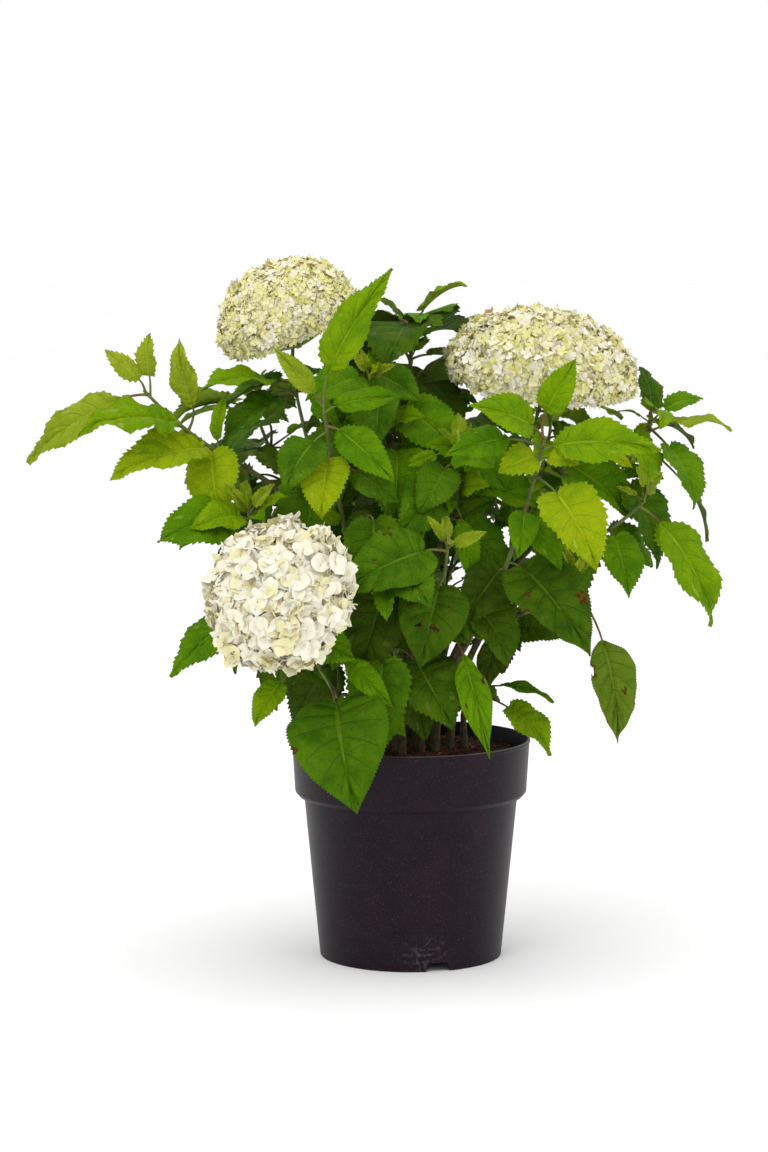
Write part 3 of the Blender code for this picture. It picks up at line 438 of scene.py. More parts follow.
def stem_way(shoot):
    """The way a cane's end and its leafy stem's start point: below the tip, which curves up."""
    return (direction(shoot.bearing, 90 - shoot.lean) - UP * STEM_SAG).normalized()


def bough_corners(shoot, curves):
    """The curve of a cane from the soil, or of a side bough from the cane that carries it."""
    fork = fork_of(shoot)
    way = stem_way(shoot)
    if shoot.carrier is None:
        start = direction(shoot.bearing) * shoot.foot + UP * (SOIL_LEVEL + CLEAR)
        rise = UP
        radius = CANE_RADIUS
    else:
        point, along = bezier(curves[shoot.carrier][0], SIDE_SHARE)
        rise = (along + (fork - point).normalized()).normalized()
        angle = rise.angle(along)
        radius = BOUGH_RADIUS
        carrier_radius = CANE_RADIUS + (FORK_RADIUS - CANE_RADIUS) * SIDE_SHARE
        start = point + rise * ((carrier_radius + CLEAR + radius * math.cos(angle)) / math.sin(angle))
    run = (fork - start).length
    corners = (start, start + rise * CANE_RISE * run, fork - way * FORK_RUN * run, fork)
    return corners, (radius, FORK_RADIUS)


def stem_corners(shoot):
    start = fork_of(shoot) + stem_way(shoot) * CLEAR
    tip = tip_of(shoot)
    bend = start + stem_way(shoot) * 0.5 * (tip - start).length
    return bent(start, bend, tip)


def stem_skin(corners):
    return tube(corners, (FORK_RADIUS, TIP_RADIUS), STEM_SIDES, STEM_STEPS)


# Leaves


def face_of(chord, place, roll):
    """The way a blade's upper side looks, turned by roll: to the light from above and outside.

    The plant was grown with its front, at -Y, to the light, and the leaves there turn to it.
    """
    outward = Vector((place.x, place.y, 0.0)).normalized()
    front = min(max(0.5 - place.y / LIT_DEPTH, 0.0), 1.0)
    light = UP + outward * OUTWARD_LIGHT + Vector((0.0, -FRONT_LIGHT, 0.0)) * front
    side = chord.cross(light).normalized()
    return Matrix.Rotation(roll, 3, chord) @ side.cross(chord)


def blade_at(leaf, share):
    """The midrib's point, its direction and its upper side at a share along a drooping blade."""
    start = leaf.chord * math.cos(leaf.droop / 2) + leaf.face * math.sin(leaf.droop / 2)
    above = leaf.face * math.cos(leaf.droop / 2) - leaf.chord * math.sin(leaf.droop / 2)
    angle = leaf.droop * share
    reach = leaf.length / leaf.droop
    point = leaf.base + (start * math.sin(angle) - above * (1.0 - math.cos(angle))) * reach
    way = start * math.cos(angle) - above * math.sin(angle)
    return point, way, above * math.cos(angle) + start * math.sin(angle)


def leaf_skin(leaf, room=0.0, skipped=0.0):
    """A three-sided petiole that runs on into a folded blade, as one closed skin.

    The petiole starts a share of the way out from its root where some of it is skipped.
    """
    base, way, above = blade_at(leaf, 0.0)
    side = way.cross(above)
    bend = base - way * 0.5 * (base - leaf.root).length
    curve = bent(leaf.root, bend, base)
    petiole = PETIOLE_RADIUS + room
    points = []
    for share in (1.0, 0.5 + 0.5 * skipped, skipped):
        centre, along = bezier(curve, share)
        side = (side - along * side.dot(along)).normalized()
        above = side.cross(along)
        ring = [centre + (side + above * 0.5) * petiole, centre + (above * 0.5 - side) * petiole]
        points = ring + [centre - above * petiole] + points
    half_thick = leaf.length * LEAF_THICKNESS / 2 + room
    for share, breadth in BLADE_STATIONS:
        point, way, above = blade_at(leaf, share)
        side = way.cross(above)
        half = leaf.width / 2 * breadth + room
        out = side * half * math.cos(leaf.fold)
        lift = above * half * math.sin(leaf.fold)
        points += [point + out + lift, point + above * half_thick]
        points += [point - out + lift, point - above * half_thick]
    tip, way, above = blade_at(leaf, 1.0)
    points.append(tip + way * room)
    last = len(points) - 1
    faces = [(0, 1, 2)]
    for ring in (0, 3):
        for corner in range(3):
            after = (corner + 1) % 3
            faces.append((ring + corner, ring + after, ring + 3 + after, ring + 3 + corner))
    right, left, under = 6, 7, 8
    faces += [(right, 9, 10), (right, 10, left), (left, 10, 11)]
    faces += [(left, 11, 12, under), (under, 12, 9, right)]
    for corner in range(4):
        after = (corner + 1) % 4
        faces.append((9 + corner, 9 + after, 13 + after, 13 + corner))
        faces.append((13 + corner, 13 + after, last))
    return points, faces


def draw_for(seed, shoot, pair, side, trial):
    """The random draws of one trial at one leaf."""
    place = SHOOT_SEED * SHOOTS.index(shoot) + PAIR_SEED * pair + SIDE_SEED * side
    return random.Random(seed + place + trial)


def posed_leaf(posed, corners):
    """A leaf with a bearing and a pitch of its own."""
    node = bezier(corners, posed.node)[0]
    petiole_way = direction(posed.bearing, posed.pitch + POSED_LIFT)
    chord = direction(posed.bearing, posed.pitch)
    base = node + petiole_way * posed.petiole
    face = face_of(chord, base, 0.0)
    root = node + petiole_way * ROOT_START
    return Leaf(root, base, chord, face, posed.length, posed.length * posed.width, POSED_DROOP, POSED_FOLD)


def paired_leaf(shoot, corners, pair, side, trial):
    """One leaf of an opposite pair. Later trials stray further from the pair's own direction."""
    draw = draw_for(SEED, shoot, pair, side, trial)
    height = pair / max(shoot.pairs - 1, 1)
    node, along = bezier(corners, FIRST_NODE + (LAST_NODE - FIRST_NODE) * height)
    turn = math.radians(shoot.turn + 90 * pair + 180 * side)
    stray = TURN_STRAY + TRIAL_TURN * trial
    turn += draw.uniform(-stray, stray)
    across = Matrix.Rotation(turn, 3, along) @ along.orthogonal().normalized()
    spread = math.radians(LOW_SPREAD - SPREAD_LOSS * height)
    petiole_way = across * math.sin(spread) + along * math.cos(spread)
    length = shoot.leaf * (LOW_LENGTH - LENGTH_LOSS * height) * draw.uniform(*LENGTH_RANGE)
    petiole = length * draw.uniform(*PETIOLE_RANGE) * (LOW_PETIOLE - PETIOLE_LOSS * height)
    outward = Vector((node.x, node.y, 0.0)).normalized()
    heading = across + outward * OUTWARD_PULL
    heading.z = 0.0
    heading.normalize()
    stray = draw.uniform(-PITCH_STRAY, PITCH_STRAY)
    pitch = math.radians(LOW_PITCH + PITCH_GAIN * height + stray - TRIAL_PITCH * trial)
    chord = heading * math.cos(pitch) + UP * math.sin(pitch)
    base = node + petiole_way * petiole
    face = face_of(chord, base, draw.uniform(*ROLL_RANGE))
    width = length * draw.uniform(*WIDTH_RANGE)
    root = node + petiole_way * ROOT_START
    droop = draw.uniform(*DROOP_RANGE)
    return Leaf(root, base, chord, face, length, width, droop, draw.uniform(*FOLD_RANGE))


# The crown: what is taken, and what may still grow


class Room:
    """The room that a skin takes: its box, and a tree of its faces."""

    def __init__(self, skin):
        points, faces = skin
        self.low = [min(point[axis] for point in points) for axis in range(3)]
        self.high = [max(point[axis] for point in points) for axis in range(3)]
        self.tree = BVHTree.FromPolygons(points, faces)

    def touches(self, other):
        for axis in range(3):
            if self.low[axis] > other.high[axis] or self.high[axis] < other.low[axis]:
                return False
        return bool(self.tree.overlap(other.tree))


class Crown:
    """Everything placed so far, so that a leaf that would touch a neighbour isn't grown."""

    def __init__(self):
        self.taken = []

    def add(self, skin, owner):
        self.taken.append((owner, Room(skin)))

    def neighbours(self, skin, shoot, own):
        """What a skin touches, among its own shoot's solids or among all the others."""
        room = Room(skin)
        return [owner for owner, other in self.taken if (owner == shoot) == own and room.touches(other)]


def crosses_itself(skin):
    points, faces = skin
    tree = BVHTree.FromPolygons(points, faces)
    return any(not set(faces[one]) & set(faces[other]) for one, other in tree.overlap(tree))


def has_room(crown, leaf, shoot):
    """Whether a leaf keeps clear of all other solids, and past its root of its own shoot's too."""
    whole = leaf_skin(leaf, ROOM)
    if crosses_itself(whole) or crown.neighbours(whole, shoot.name, False):
        return False
    past_the_root = leaf_skin(leaf, ROOM, ROOT_LENGTH / (leaf.base - leaf.root).length)
    return not crown.neighbours(past_the_root, shoot.name, True)


def above_underside(leaf):
    """Whether a leaf ends above the crown's underside, which rises outward like a shallow bowl."""
    tip = blade_at(leaf, 1.0)[0]
    beyond = max(math.hypot(tip.x, tip.y) - UNDERSIDE_RADIUS, 0.0)
    return tip.z > UNDERSIDE_LEVEL + UNDERSIDE_SLOPE * beyond


# Blooms


def dome_point(bloom, polar, around, grown=0.0):
    """A point on a bloom's dome: a tall cap above its middle and a shallow skirt below it."""
    axis = axis_of(bloom)
    across = axis.orthogonal().normalized()
    beside = axis.cross(across)
    rise = bloom.crown if math.cos(polar) > 0 else bloom.skirt
    flat = (across * math.cos(around) + beside * math.sin(around)) * math.sin(polar)
    radius = bloom.radius + grown
    return middle_of(bloom) + flat * radius + axis * math.cos(polar) * (rise + grown)


def dome_skin(bloom, grown):
    points = [dome_point(bloom, 0.0, 0.0, grown)]
    for ring in range(1, CORE_RINGS):
        for side in range(CORE_SIDES):
            polar = math.pi * ring / CORE_RINGS
            around = FULL_TURN * (side + 0.5 * ring) / CORE_SIDES
            points.append(dome_point(bloom, polar, around, grown))
    points.append(dome_point(bloom, math.pi, 0.0, grown))
    last = len(points) - 1
    faces = []
    for side in range(CORE_SIDES):
        after = (side + 1) % CORE_SIDES
        faces.append((0, 1 + side, 1 + after))
        faces.append((last, last - CORE_SIDES + after, last - CORE_SIDES + side))
        for ring in range(CORE_RINGS - 2):
            low = 1 + ring * CORE_SIDES
            high = low + CORE_SIDES
            faces.append((low + side, high + side, low + after))
            faces.append((low + after, high + side, high + after))
    return points, faces


def stalk_corners(bloom, stems):
    """From the shoot's tip, 0.3 mm clear of it, up into the bloom's core."""
    tip, way = bezier(stems[bloom.shoot], 1.0)
    start = tip + way * CLEAR
    axis = axis_of(bloom)
    end = middle_of(bloom) + axis * CLEAR
    run = (end - start).length
    return start, start + way * STALK_BEND * run, end - axis * STALK_BEND * run, end


def stalk_skin(bloom, stems):
    return tube(stalk_corners(bloom, stems), (TIP_RADIUS, STALK_RADIUS), STEM_SIDES, STEM_STEPS)


def pot_space():
    """The closed room that the pot takes, which no leaf enters."""
    points = []
    for height in (0.0, POT_HEIGHT - BAND_DEPTH, POT_HEIGHT + LEAF_TO_POT):
        ring = circle(wall_radius(height) + LEAF_TO_POT, height, SPACE_SIDES)
        points += [Vector(point) for point in ring]
    ends = [tuple(range(SPACE_SIDES)), tuple(range(len(points) - SPACE_SIDES, len(points)))]
    return points, ends + bands(SPACE_SIDES, 2)


# Finishes


Look = namedtuple(
    "Look", "colour other roughness scale bump specular low high", defaults=(0.0, 0.5, 0.35, 0.65)
)
DRIFT_DETAIL = 5.0
GRAIN_SCALE = 300.0
GRAIN_DEPTH = 0.001
NET_SCALE = 260.0
NET_LINE = 0.18
NET_DEPTH = 0.0009

# The tones of leaf, from the shade inside the crown to the youngest growth. The darker tones are
# painted shade for leaves inside the crown; the lighter ones are partly painted light where it falls
# on the crown's top, edge and front, partly the paler young growth. Each has the upper side's two
# greens, the midrib, the underside and a painted shade for the creases along the side veins.
TONES = {
    "shade": ((62, 84, 10), (38, 58, 4), (70, 94, 16), (74, 92, 34), (30, 46, 4)),
    "deep": ((70, 100, 8), (42, 72, 4), (82, 110, 16), (82, 104, 34), (34, 58, 4)),
    "green": ((78, 114, 8), (48, 88, 4), (90, 124, 16), (96, 120, 40), (40, 74, 4)),
    "fresh": ((94, 134, 2), (66, 112, 4), (110, 148, 16), (114, 140, 44), (56, 96, 4)),
    "bright": ((120, 152, 4), (88, 130, 6), (136, 166, 20), (132, 154, 48), (76, 114, 6)),
    "lime": ((146, 165, 10), (112, 146, 8), (158, 176, 26), (146, 164, 50), (100, 128, 8)),
    "young": ((144, 160, 36), (108, 136, 20), (154, 170, 50), (148, 162, 70), (98, 122, 20)),
    "olive": ((94, 118, 26), (66, 94, 16), (106, 128, 38), (104, 124, 54), (56, 80, 12)),
}
# The tones from painted shade to painted light, in the order tone_for deals them by light_on
LIGHT_ORDER = ("shade", "deep", "green", "fresh", "bright", "lime")
LOOKS = {
    "scorch": Look((96, 68, 22), (52, 38, 14), 0.9, 220.0, specular=0.05),
    "stem_green": Look((92, 114, 30), (78, 82, 32), 0.6, 90.0, 0.2),
    "petiole": Look((104, 66, 30), (98, 112, 32), 0.6, 45.0, low=0.42, high=0.58),
    "cane_bark": Look((88, 80, 38), (54, 46, 24), 0.8, 160.0, 0.5),
    "petal_white": Look((236, 232, 216), (231, 226, 204), 0.6, 60.0, specular=0.3),
    "petal_cream": Look((233, 227, 190), (226, 220, 164), 0.6, 70.0, specular=0.3),
    "petal_green": Look((228, 224, 160), (219, 214, 130), 0.6, 80.0, specular=0.3),
    "petal_tan": Look((216, 200, 152), (200, 172, 116), 0.6, 90.0, specular=0.3),
    # Deep in a bloom: pale cream-green, partly the green of its inner parts, partly painted light for the
    # glow through the petals into its gaps
    "bloom_depth": Look((236, 232, 160), (226, 222, 126), 0.8, 120.0, 0.4),
    "pedicel": Look((176, 188, 96), (150, 170, 80), 0.6, 120.0),
    "pot_plastic": Look((29, 17, 26), (23, 13, 21), 0.42, 30.0, 0.12, 0.13),
    # The lip's outer top edge: a paler grey, partly wear and partly a painted highlight
    "rim_edge": Look((78, 70, 76), (44, 36, 42), 0.5, 60.0, 0.1),
    "bark_red": Look((118, 62, 36), (78, 38, 22), 0.9, 200.0, 0.8),
    "bark_dark": Look((62, 36, 24), (34, 20, 14), 0.95, 200.0, 0.8),
    "bark_pale": Look((176, 118, 74), (130, 76, 44), 0.85, 200.0, 0.6),
    "floor": Look((255, 255, 255), (254, 254, 254), 0.9, 2.0),
}

# The pot's dust and scuff, each a noise: its scale and detail, the values where it starts and is
# full, and its strength. The scuff lies beside the front notch.
Grime = namedtuple("Grime", "scale detail low high most")
DUST = Grime(1100.0, 1.0, 0.66, 0.78, 0.6)
SCUFF = Grime(240.0, 8.0, 0.50, 0.80, 0.75)
SCUFF_PLACE = (0.014, -0.094, 0.014)
SCUFF_REACH = 0.030
SCUFF_FULL = 0.25
DUST_COLOUR = (98, 96, 108)


def srgb(colour):
    """A plain colour from its 0 to 255 values, as the shader takes it."""
    shares = [value / 255 for value in colour]
    linear = [s / 12.92 if s <= 0.04045 else ((s + 0.055) / 1.055) ** 2.4 for s in shares]
    return (*linear, 1.0)


def add_node(tree, kind, inputs, **settings):
    """A shader node with its settings. Each input is a value, or a socket that is linked to it."""
    made = tree.nodes.new("ShaderNode" + kind)
    for name, value in settings.items():
        setattr(made, name, value)
    for name, value in inputs.items():
        if isinstance(value, bpy.types.NodeSocket):
            tree.links.new(value, made.inputs[name])
        else:
            made.inputs[name].default_value = value
    return made


def add_relief(tree, height, strength, depth):
    relief = add_node(tree, "Bump", {"Strength": strength, "Distance": depth, "Height": height})
    tree.links.new(relief.outputs["Normal"], tree.nodes["Principled BSDF"].inputs["Normal"])


def finish(name, look):
    """A material whose colour drifts between two by a noise, with a finer noise as its relief."""
    material = bpy.data.materials.new(name)
    material.use_nodes = True
    tree = material.node_tree
    shader = tree.nodes["Principled BSDF"]
    shader.inputs["Base Color"].default_value = srgb(look.colour)
    shader.inputs["Roughness"].default_value = look.roughness
    shader.inputs["Specular IOR Level"].default_value = look.specular
    place = tree.nodes.new("ShaderNodeTexCoord").outputs["Object"]
    drift = add_node(tree, "TexNoise", {"Scale": look.scale, "Detail": DRIFT_DETAIL, "Vector": place})
    ramp = add_node(tree, "ValToRGB", {"Fac": drift.outputs["Fac"]})
    ends = ((look.low, look.other), (look.high, look.colour))
    for element, (position, colour) in zip(ramp.color_ramp.elements, ends):
        element.position = position
        element.color = srgb(colour)
    tree.links.new(ramp.outputs["Color"], shader.inputs["Base Color"])
    if look.bump:
        fine = add_node(tree, "TexNoise", {"Scale": GRAIN_SCALE, "Detail": 4.0, "Vector": place})
        add_relief(tree, fine.outputs["Fac"], look.bump, GRAIN_DEPTH)
    return material


def leaf_finish(name, look):
    """A leaf's upper side: two greens that drift into each other, under a net of fine veins."""
    material = finish(name, look)
    tree = material.node_tree
    tree.nodes["Noise Texture"].inputs["Detail"].default_value = 9.0
    tree.nodes["Noise Texture"].inputs["Roughness"].default_value = 0.68
    place = tree.nodes["Texture Coordinate"].outputs["Object"]
    net_inputs = {"Scale": NET_SCALE, "Vector": place}
    net = add_node(tree, "TexVoronoi", net_inputs, feature="DISTANCE_TO_EDGE")
    lines = add_node(tree, "MapRange", {"From Max": NET_LINE, "Value": net.outputs["Distance"]})
    add_relief(tree, lines.outputs["Result"], 0.6, NET_DEPTH)
    return material


def add_dust(material):
    """Lays fine pale dust all over a material, and a scuff round a place."""
    tree = material.node_tree
    base = tree.nodes["Principled BSDF"].inputs["Base Color"]
    plain = base.links[0].from_socket
    here = tree.nodes["Texture Coordinate"].outputs["Object"]
    shares = []
    for grime in (DUST, SCUFF):
        grain_inputs = {"Scale": grime.scale, "Detail": grime.detail, "Vector": here}
        value = add_node(tree, "TexNoise", grain_inputs).outputs["Fac"]
        span = {"From Min": grime.low, "From Max": grime.high, "To Max": grime.most, "Value": value}
        shares.append(add_node(tree, "MapRange", span).outputs["Result"])
    away = add_node(tree, "VectorMath", {1: SCUFF_PLACE, 0: here}, operation="DISTANCE").outputs["Value"]
    span = {"From Min": SCUFF_REACH, "From Max": SCUFF_REACH * SCUFF_FULL, "Value": away}
    near = add_node(tree, "MapRange", span).outputs["Result"]
    scuff = add_node(tree, "Math", {0: shares[1], 1: near}, operation="MULTIPLY").outputs["Value"]
    both = add_node(tree, "Math", {0: shares[0], 1: scuff}, operation="MAXIMUM").outputs["Value"]
    colours = {"Factor": both, "A": plain, "B": srgb(DUST_COLOUR)}
    mix = add_node(tree, "Mix", colours, data_type="RGBA")
    tree.links.new(mix.outputs["Result"], base)


looks = {name: finish(name, look) for name, look in LOOKS.items()}
add_dust(looks["pot_plastic"])
for tone, (upper, drift, vein, under, crease_shade) in TONES.items():
    upper_look = Look(upper, drift, 0.5, 34.0, specular=0.04, low=0.34, high=0.60)
    looks["leaf_" + tone] = leaf_finish("leaf_" + tone, upper_look)
    for side, look in (
        ("vein_", Look(vein, upper, 0.6, 60.0, specular=0.12)),
        ("under_", Look(under, upper, 0.65, 70.0, specular=0.12, low=0.2, high=0.6)),
        ("crease_", Look(crease_shade, drift, 0.6, 60.0, specular=0.12)),
    ):
        looks[side + tone] = finish(side + tone, look)


class Pile:
    """Gathers skins, and makes one mesh of them. Each face has its own finish."""

    def __init__(self):
        self.points = []
        self.corners = []
        self.sizes = []
        self.finishes = []
        self.count = 0

    def add(self, points, faces, finishes):
        """Points, faces of three or four corners, and one finish or one for each face."""
        if isinstance(finishes, str):
            finishes = [finishes] * len(faces)
        self.points.append(np.asarray(points, float).reshape(-1, 3))
        for face in faces:
            self.corners.extend(corner + self.count for corner in face)
            self.sizes.append(len(face))
        self.finishes.extend(finishes)
        self.count += len(points)

    def make(self, name, smooth=True):
        mesh = bpy.data.meshes.new(name)
        mesh.vertices.add(self.count)
        mesh.vertices.foreach_set("co", np.concatenate(self.points).ravel())
        mesh.loops.add(len(self.corners))
        mesh.polygons.add(len(self.sizes))
        starts = np.concatenate([[0], np.cumsum(self.sizes)[:-1]])
        mesh.polygons.foreach_set("loop_start", starts.astype(np.int32))
        mesh.polygons.foreach_set("vertices", np.array(self.corners, np.int32))
        used = sorted(set(self.finishes))
        for finish_name in used:
            mesh.materials.append(looks[finish_name])
        order = {finish_name: number for number, finish_name in enumerate(used)}
        mesh.polygons.foreach_set("material_index", [order[each] for each in self.finishes])
        mesh.polygons.foreach_set("use_smooth", [smooth] * len(self.sizes))
        mesh.update(calc_edges=True)
        mesh.validate()
        made = bpy.data.objects.new(name, mesh)
        bpy.context.scene.collection.objects.link(made)
        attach(made, "root")
        return made


# Leaves. An outline is half a blade's edge: along its length, and across its half width.


HEART = (
    (0, 0), (-0.05, 0.20), (-0.035, 0.52), (0.07, 0.85), (0.22, 1.0), (0.40, 0.96),
    (0.58, 0.78), (0.74, 0.51), (0.87, 0.23), (0.95, 0.07), (1, 0),
)
LANCE = (
    (0, 0), (0.02, 0.12), (0.07, 0.40), (0.16, 0.76), (0.28, 0.98), (0.42, 1.0),
    (0.58, 0.84), (0.74, 0.54), (0.87, 0.25), (0.95, 0.08), (1, 0),
)
LANCE_WIDTH = 0.42
HEART_GAIN = 0.24

# How far out the columns of points stand, and which of them the underside has too
COLUMNS = (0.0, 0.035, 0.25, 0.5, 0.75, 0.9, 1.0)
SMALL_COLUMNS = (0.0, 0.06, 0.55, 1.0)
FINE_COLUMNS = (0.0, 0.035, 0.13, 0.24, 0.35, 0.46, 0.57, 0.68, 0.78, 0.88, 0.95, 1.0)
UNDER_COLUMNS = {COLUMNS: (0, 3, 5, 6), SMALL_COLUMNS: (0, 2, 3), FINE_COLUMNS: (0, 3, 6, 8, 10, 11)}
PLAIN_MARGIN = 3
FOOT_CROWDING = 1.6
RIM_CROWDING = 0.8
VEIN_HALF = 0.045
VEIN_TAPER = 0.8
VEIN_BEND = 1.15
BULGE = 0.026
GROOVE = 0.010
GROOVE_WIDTH = 0.09
BLADE_THICKNESS = 0.0045
RIM_THICKNESS = 0.0008
TOOTH = 0.46
TOOTH_LEAN = 0.78
MEAN_HALF_WIDTH = 0.35

# What makes each blade its own: the rim's wave and ripple, the tip's nod, the lobes' curl, the sway
WAVE_RANGE = (0.020, 0.050)
WAVE_TURNS = (1.6, 2.8)
RIPPLE_RANGE = (0.006, 0.014)
RIPPLE_TURNS = 2.7
NOD_RANGE = (0.02, 0.16)
NOD_START = 0.62
CURL_RANGE = (0.0, 0.10)
CURL_POWER = 2.4
SWAY = 0.16

Leafage = namedtuple("Leafage", "leaf tone seed spots")
Plan = namedtuple("Plan", "heart lance height across faces kinds")
# The finishes of a blade's faces; the last is a painted shade in the creases along the side veins
SIDES = ("leaf_", "vein_", "under_", "crease_")
BLADE, MIDRIB, UNDER, CREASE_SHADE = range(len(SIDES))


def spline(points, shares):
    """Points along a smooth line through some points."""
    line = np.array(points, float)
    last = len(line) - 1
    place = np.clip(np.asarray(shares, float) * last, 0, last - 1e-9)
    first = place.astype(int)
    part = (place - first)[:, None]
    a = line[np.maximum(first - 1, 0)]
    b = line[first]
    c = line[first + 1]
    d = line[np.minimum(first + 2, last)]
    bend = (2 * a - 5 * b + 4 * c - d) * part**2 + (3 * b - a - 3 * c + d) * part**3
    return 0.5 * (2 * b + (c - a) * part + bend)


def blade_plan(veins, between, columns):
    """A leaf's flat plan: rows that follow its side veins, from the midrib out to a toothed edge.

    Along is a share of the length, across a share of the half width, and height a share of the
    length. Each side vein is a narrow strip between two rows.
    """
    rows = [(0.0, 0)]
    for vein in range(veins + 1):
        if vein:
            rows.append((vein, 1))
        rows += [(vein + (step + 1) / (between + 1), 0) for step in range(between)]
        if vein < veins:
            rows.append((vein + 1, -1))
    rows.append((veins + 1.0, 0))
    span = veins + 1.0
    shares = np.array(columns)
    plans = {"heart": [], "lance": []}
    heights = []
    for row, side in rows:
        at = row + side * VEIN_HALF * (1 - VEIN_TAPER * shares)
        start = (at / span) ** FOOT_CROWDING
        edge = (at / span) ** RIM_CROWDING
        heights.append(
            BULGE * np.abs(np.sin(math.pi * at)) ** 0.8 * (1 - (2 * shares - 1) ** 4)
            - GROOVE * np.exp(-((shares / GROOVE_WIDTH) ** 2))
        )
        for name, outline in (("heart", HEART), ("lance", LANCE)):
            rim = spline(outline, edge)
            along = start + (rim[:, 0] - start) * shares**VEIN_BEND
            across = rim[:, 1] * (1.2 * shares - 0.2 * shares**2)
            plans[name].append(np.stack([along, across], 1))
    width = len(columns)
    count = len(rows)
    points = {name: np.array(plan).reshape(-1, 2) for name, plan in plans.items()}
    height = np.array(heights).ravel()
    faces = []
    kinds = []
    teeth = {"heart": [], "lance": []}
    tooth_count = 0
    for row in range(count - 1):
        low = row * width
        high = low + width
        a_vein = rows[row][1] == -1 and rows[row + 1][1] == 1
        for column in range(width - 1):
            faces.append((low + column, low + column + 1, high + column + 1, high + column))
            # A side vein's strip, short of the rim, is darkened as painted shade in its crease
            crease_shade = a_vein and column < width - PLAIN_MARGIN
            kinds.append(MIDRIB if column == 0 else CREASE_SHADE if crease_shade else BLADE)
        if not a_vein and 0 < row < count - 2:
            for name in teeth:
                first, after = points[name][low + width - 1], points[name][high + width - 1]
                run = (after - first) * (1, MEAN_HALF_WIDTH)
                out = np.array([-run[1], run[0]]) * TOOTH / (1, MEAN_HALF_WIDTH)
                teeth[name].append(first + (after - first) * TOOTH_LEAN + out)
            faces.append((low + width - 1, count * width + tooth_count, high + width - 1))
            kinds.append(BLADE)
            tooth_count += 1
    under = count * width + tooth_count
    inner = UNDER_COLUMNS[columns]
    chosen = [row * width + column for row in range(count) for column in inner]
    thickness = np.where(shares[list(inner)] < 1, BLADE_THICKNESS, RIM_THICKNESS)
    below = height[chosen] - np.tile(thickness, count)
    for name in points:
        points[name] = np.concatenate([points[name], np.array(teeth[name]), points[name][chosen]])
    height = np.concatenate([height, np.zeros(tooth_count), below])
    depth = np.concatenate(
        [np.tile(shares, count), np.ones(tooth_count), np.tile(shares[list(inner)], count)]
    )
    for row in range(count - 1):
        low = under + len(inner) * row
        high = low + len(inner)
        for column in range(len(inner) - 1):
            faces.append((low + column, high + column, high + column + 1, low + column + 1))
            kinds.append(UNDER)
    return both_halves(points, height, depth, faces, kinds)


def both_halves(points, height, depth, faces, kinds):
    """Mirrors a half plan over the midrib, and welds what lies together."""
    count = len(height)
    flat = {name: np.concatenate([plan, plan * (1, -1)]) for name, plan in points.items()}
    height = np.concatenate([height, height])
    depth = np.concatenate([depth, depth])
    faces = faces + [tuple(count + corner for corner in reversed(face)) for face in faces]
    keys = {}
    same = []
    for number, (along, across) in enumerate(flat["heart"]):
        key = (round(along, 5), round(across, 5), round(height[number], 5))
        same.append(keys.setdefault(key, len(keys)))
    kept = np.zeros(len(keys), int)
    kept[same] = np.arange(len(same))
    welded = []
    welded_kinds = []
    for face, kind in zip(faces, kinds + kinds):
        corners = list(dict.fromkeys(same[corner] for corner in face))
        if len(corners) > 2:
            welded.append(tuple(corners))
            welded_kinds.append(kind)
    return Plan(
        flat["heart"][kept], flat["lance"][kept], height[kept], depth[kept], welded, welded_kinds
    )


def blade_points(leaf, along, across, height):
    """The places of a plan's points on a drooping, folded blade."""
    base = np.array(leaf.base)
    start = leaf.chord * math.cos(leaf.droop / 2) + leaf.face * math.sin(leaf.droop / 2)
    above = leaf.face * math.cos(leaf.droop / 2) - leaf.chord * math.sin(leaf.droop / 2)
    side = np.array(start.cross(above))
    start, above = np.array(start), np.array(above)
    angle = (leaf.droop * along)[:, None]
    reach = leaf.length / leaf.droop
    middle = base + (start * np.sin(angle) - above * (1 - np.cos(angle))) * reach
    up = above * np.cos(angle) + start * np.sin(angle)
    half = (across * leaf.width / 2)[:, None]
    out = side * half * math.cos(leaf.fold)
    lift = np.abs(half) * math.sin(leaf.fold) + (height * leaf.length)[:, None]
    return middle + out + up * lift


def add_leaf(pile, leafage, plan):
    leaf = leafage.leaf
    draw = random.Random(leafage.seed)
    heart = min(max((leaf.width / leaf.length - LANCE_WIDTH) / HEART_GAIN, 0.0), 1.0)
    flat = plan.heart * heart + plan.lance * (1 - heart)
    along, across = flat[:, 0], flat[:, 1]
    wave = draw.uniform(*WAVE_RANGE)
    turns = draw.uniform(*WAVE_TURNS)
    phases = (draw.uniform(0, FULL_TURN), draw.uniform(0, FULL_TURN))
    phase = np.where(across > 0, *phases)
    reach = plan.across**2
    swell = np.sin(FULL_TURN * RIPPLE_TURNS * turns * along + 2 * phase)
    ripple = draw.uniform(*RIPPLE_RANGE) * swell * reach**2
    height = plan.height + wave * np.sin(FULL_TURN * turns * along + phase) * reach + ripple
    height = height - draw.uniform(*NOD_RANGE) * np.clip(along - NOD_START, 0, 1) ** 2 * 2
    height = height - draw.uniform(*CURL_RANGE) * np.abs(across) ** CURL_POWER * (1 - along)
    sway = draw.uniform(-SWAY, SWAY)
    across = across + sway * (np.clip(along, 0, 1) ** 2 - along) * 2
    points = blade_points(leaf, along, across, height)
    faces, finishes = plan.faces, [SIDES[kind] + leafage.tone for kind in plan.kinds]
    if leafage.spots:
        faces, finishes = spotted(leafage, plan, flat, finishes)
    pile.add(points, faces, finishes)


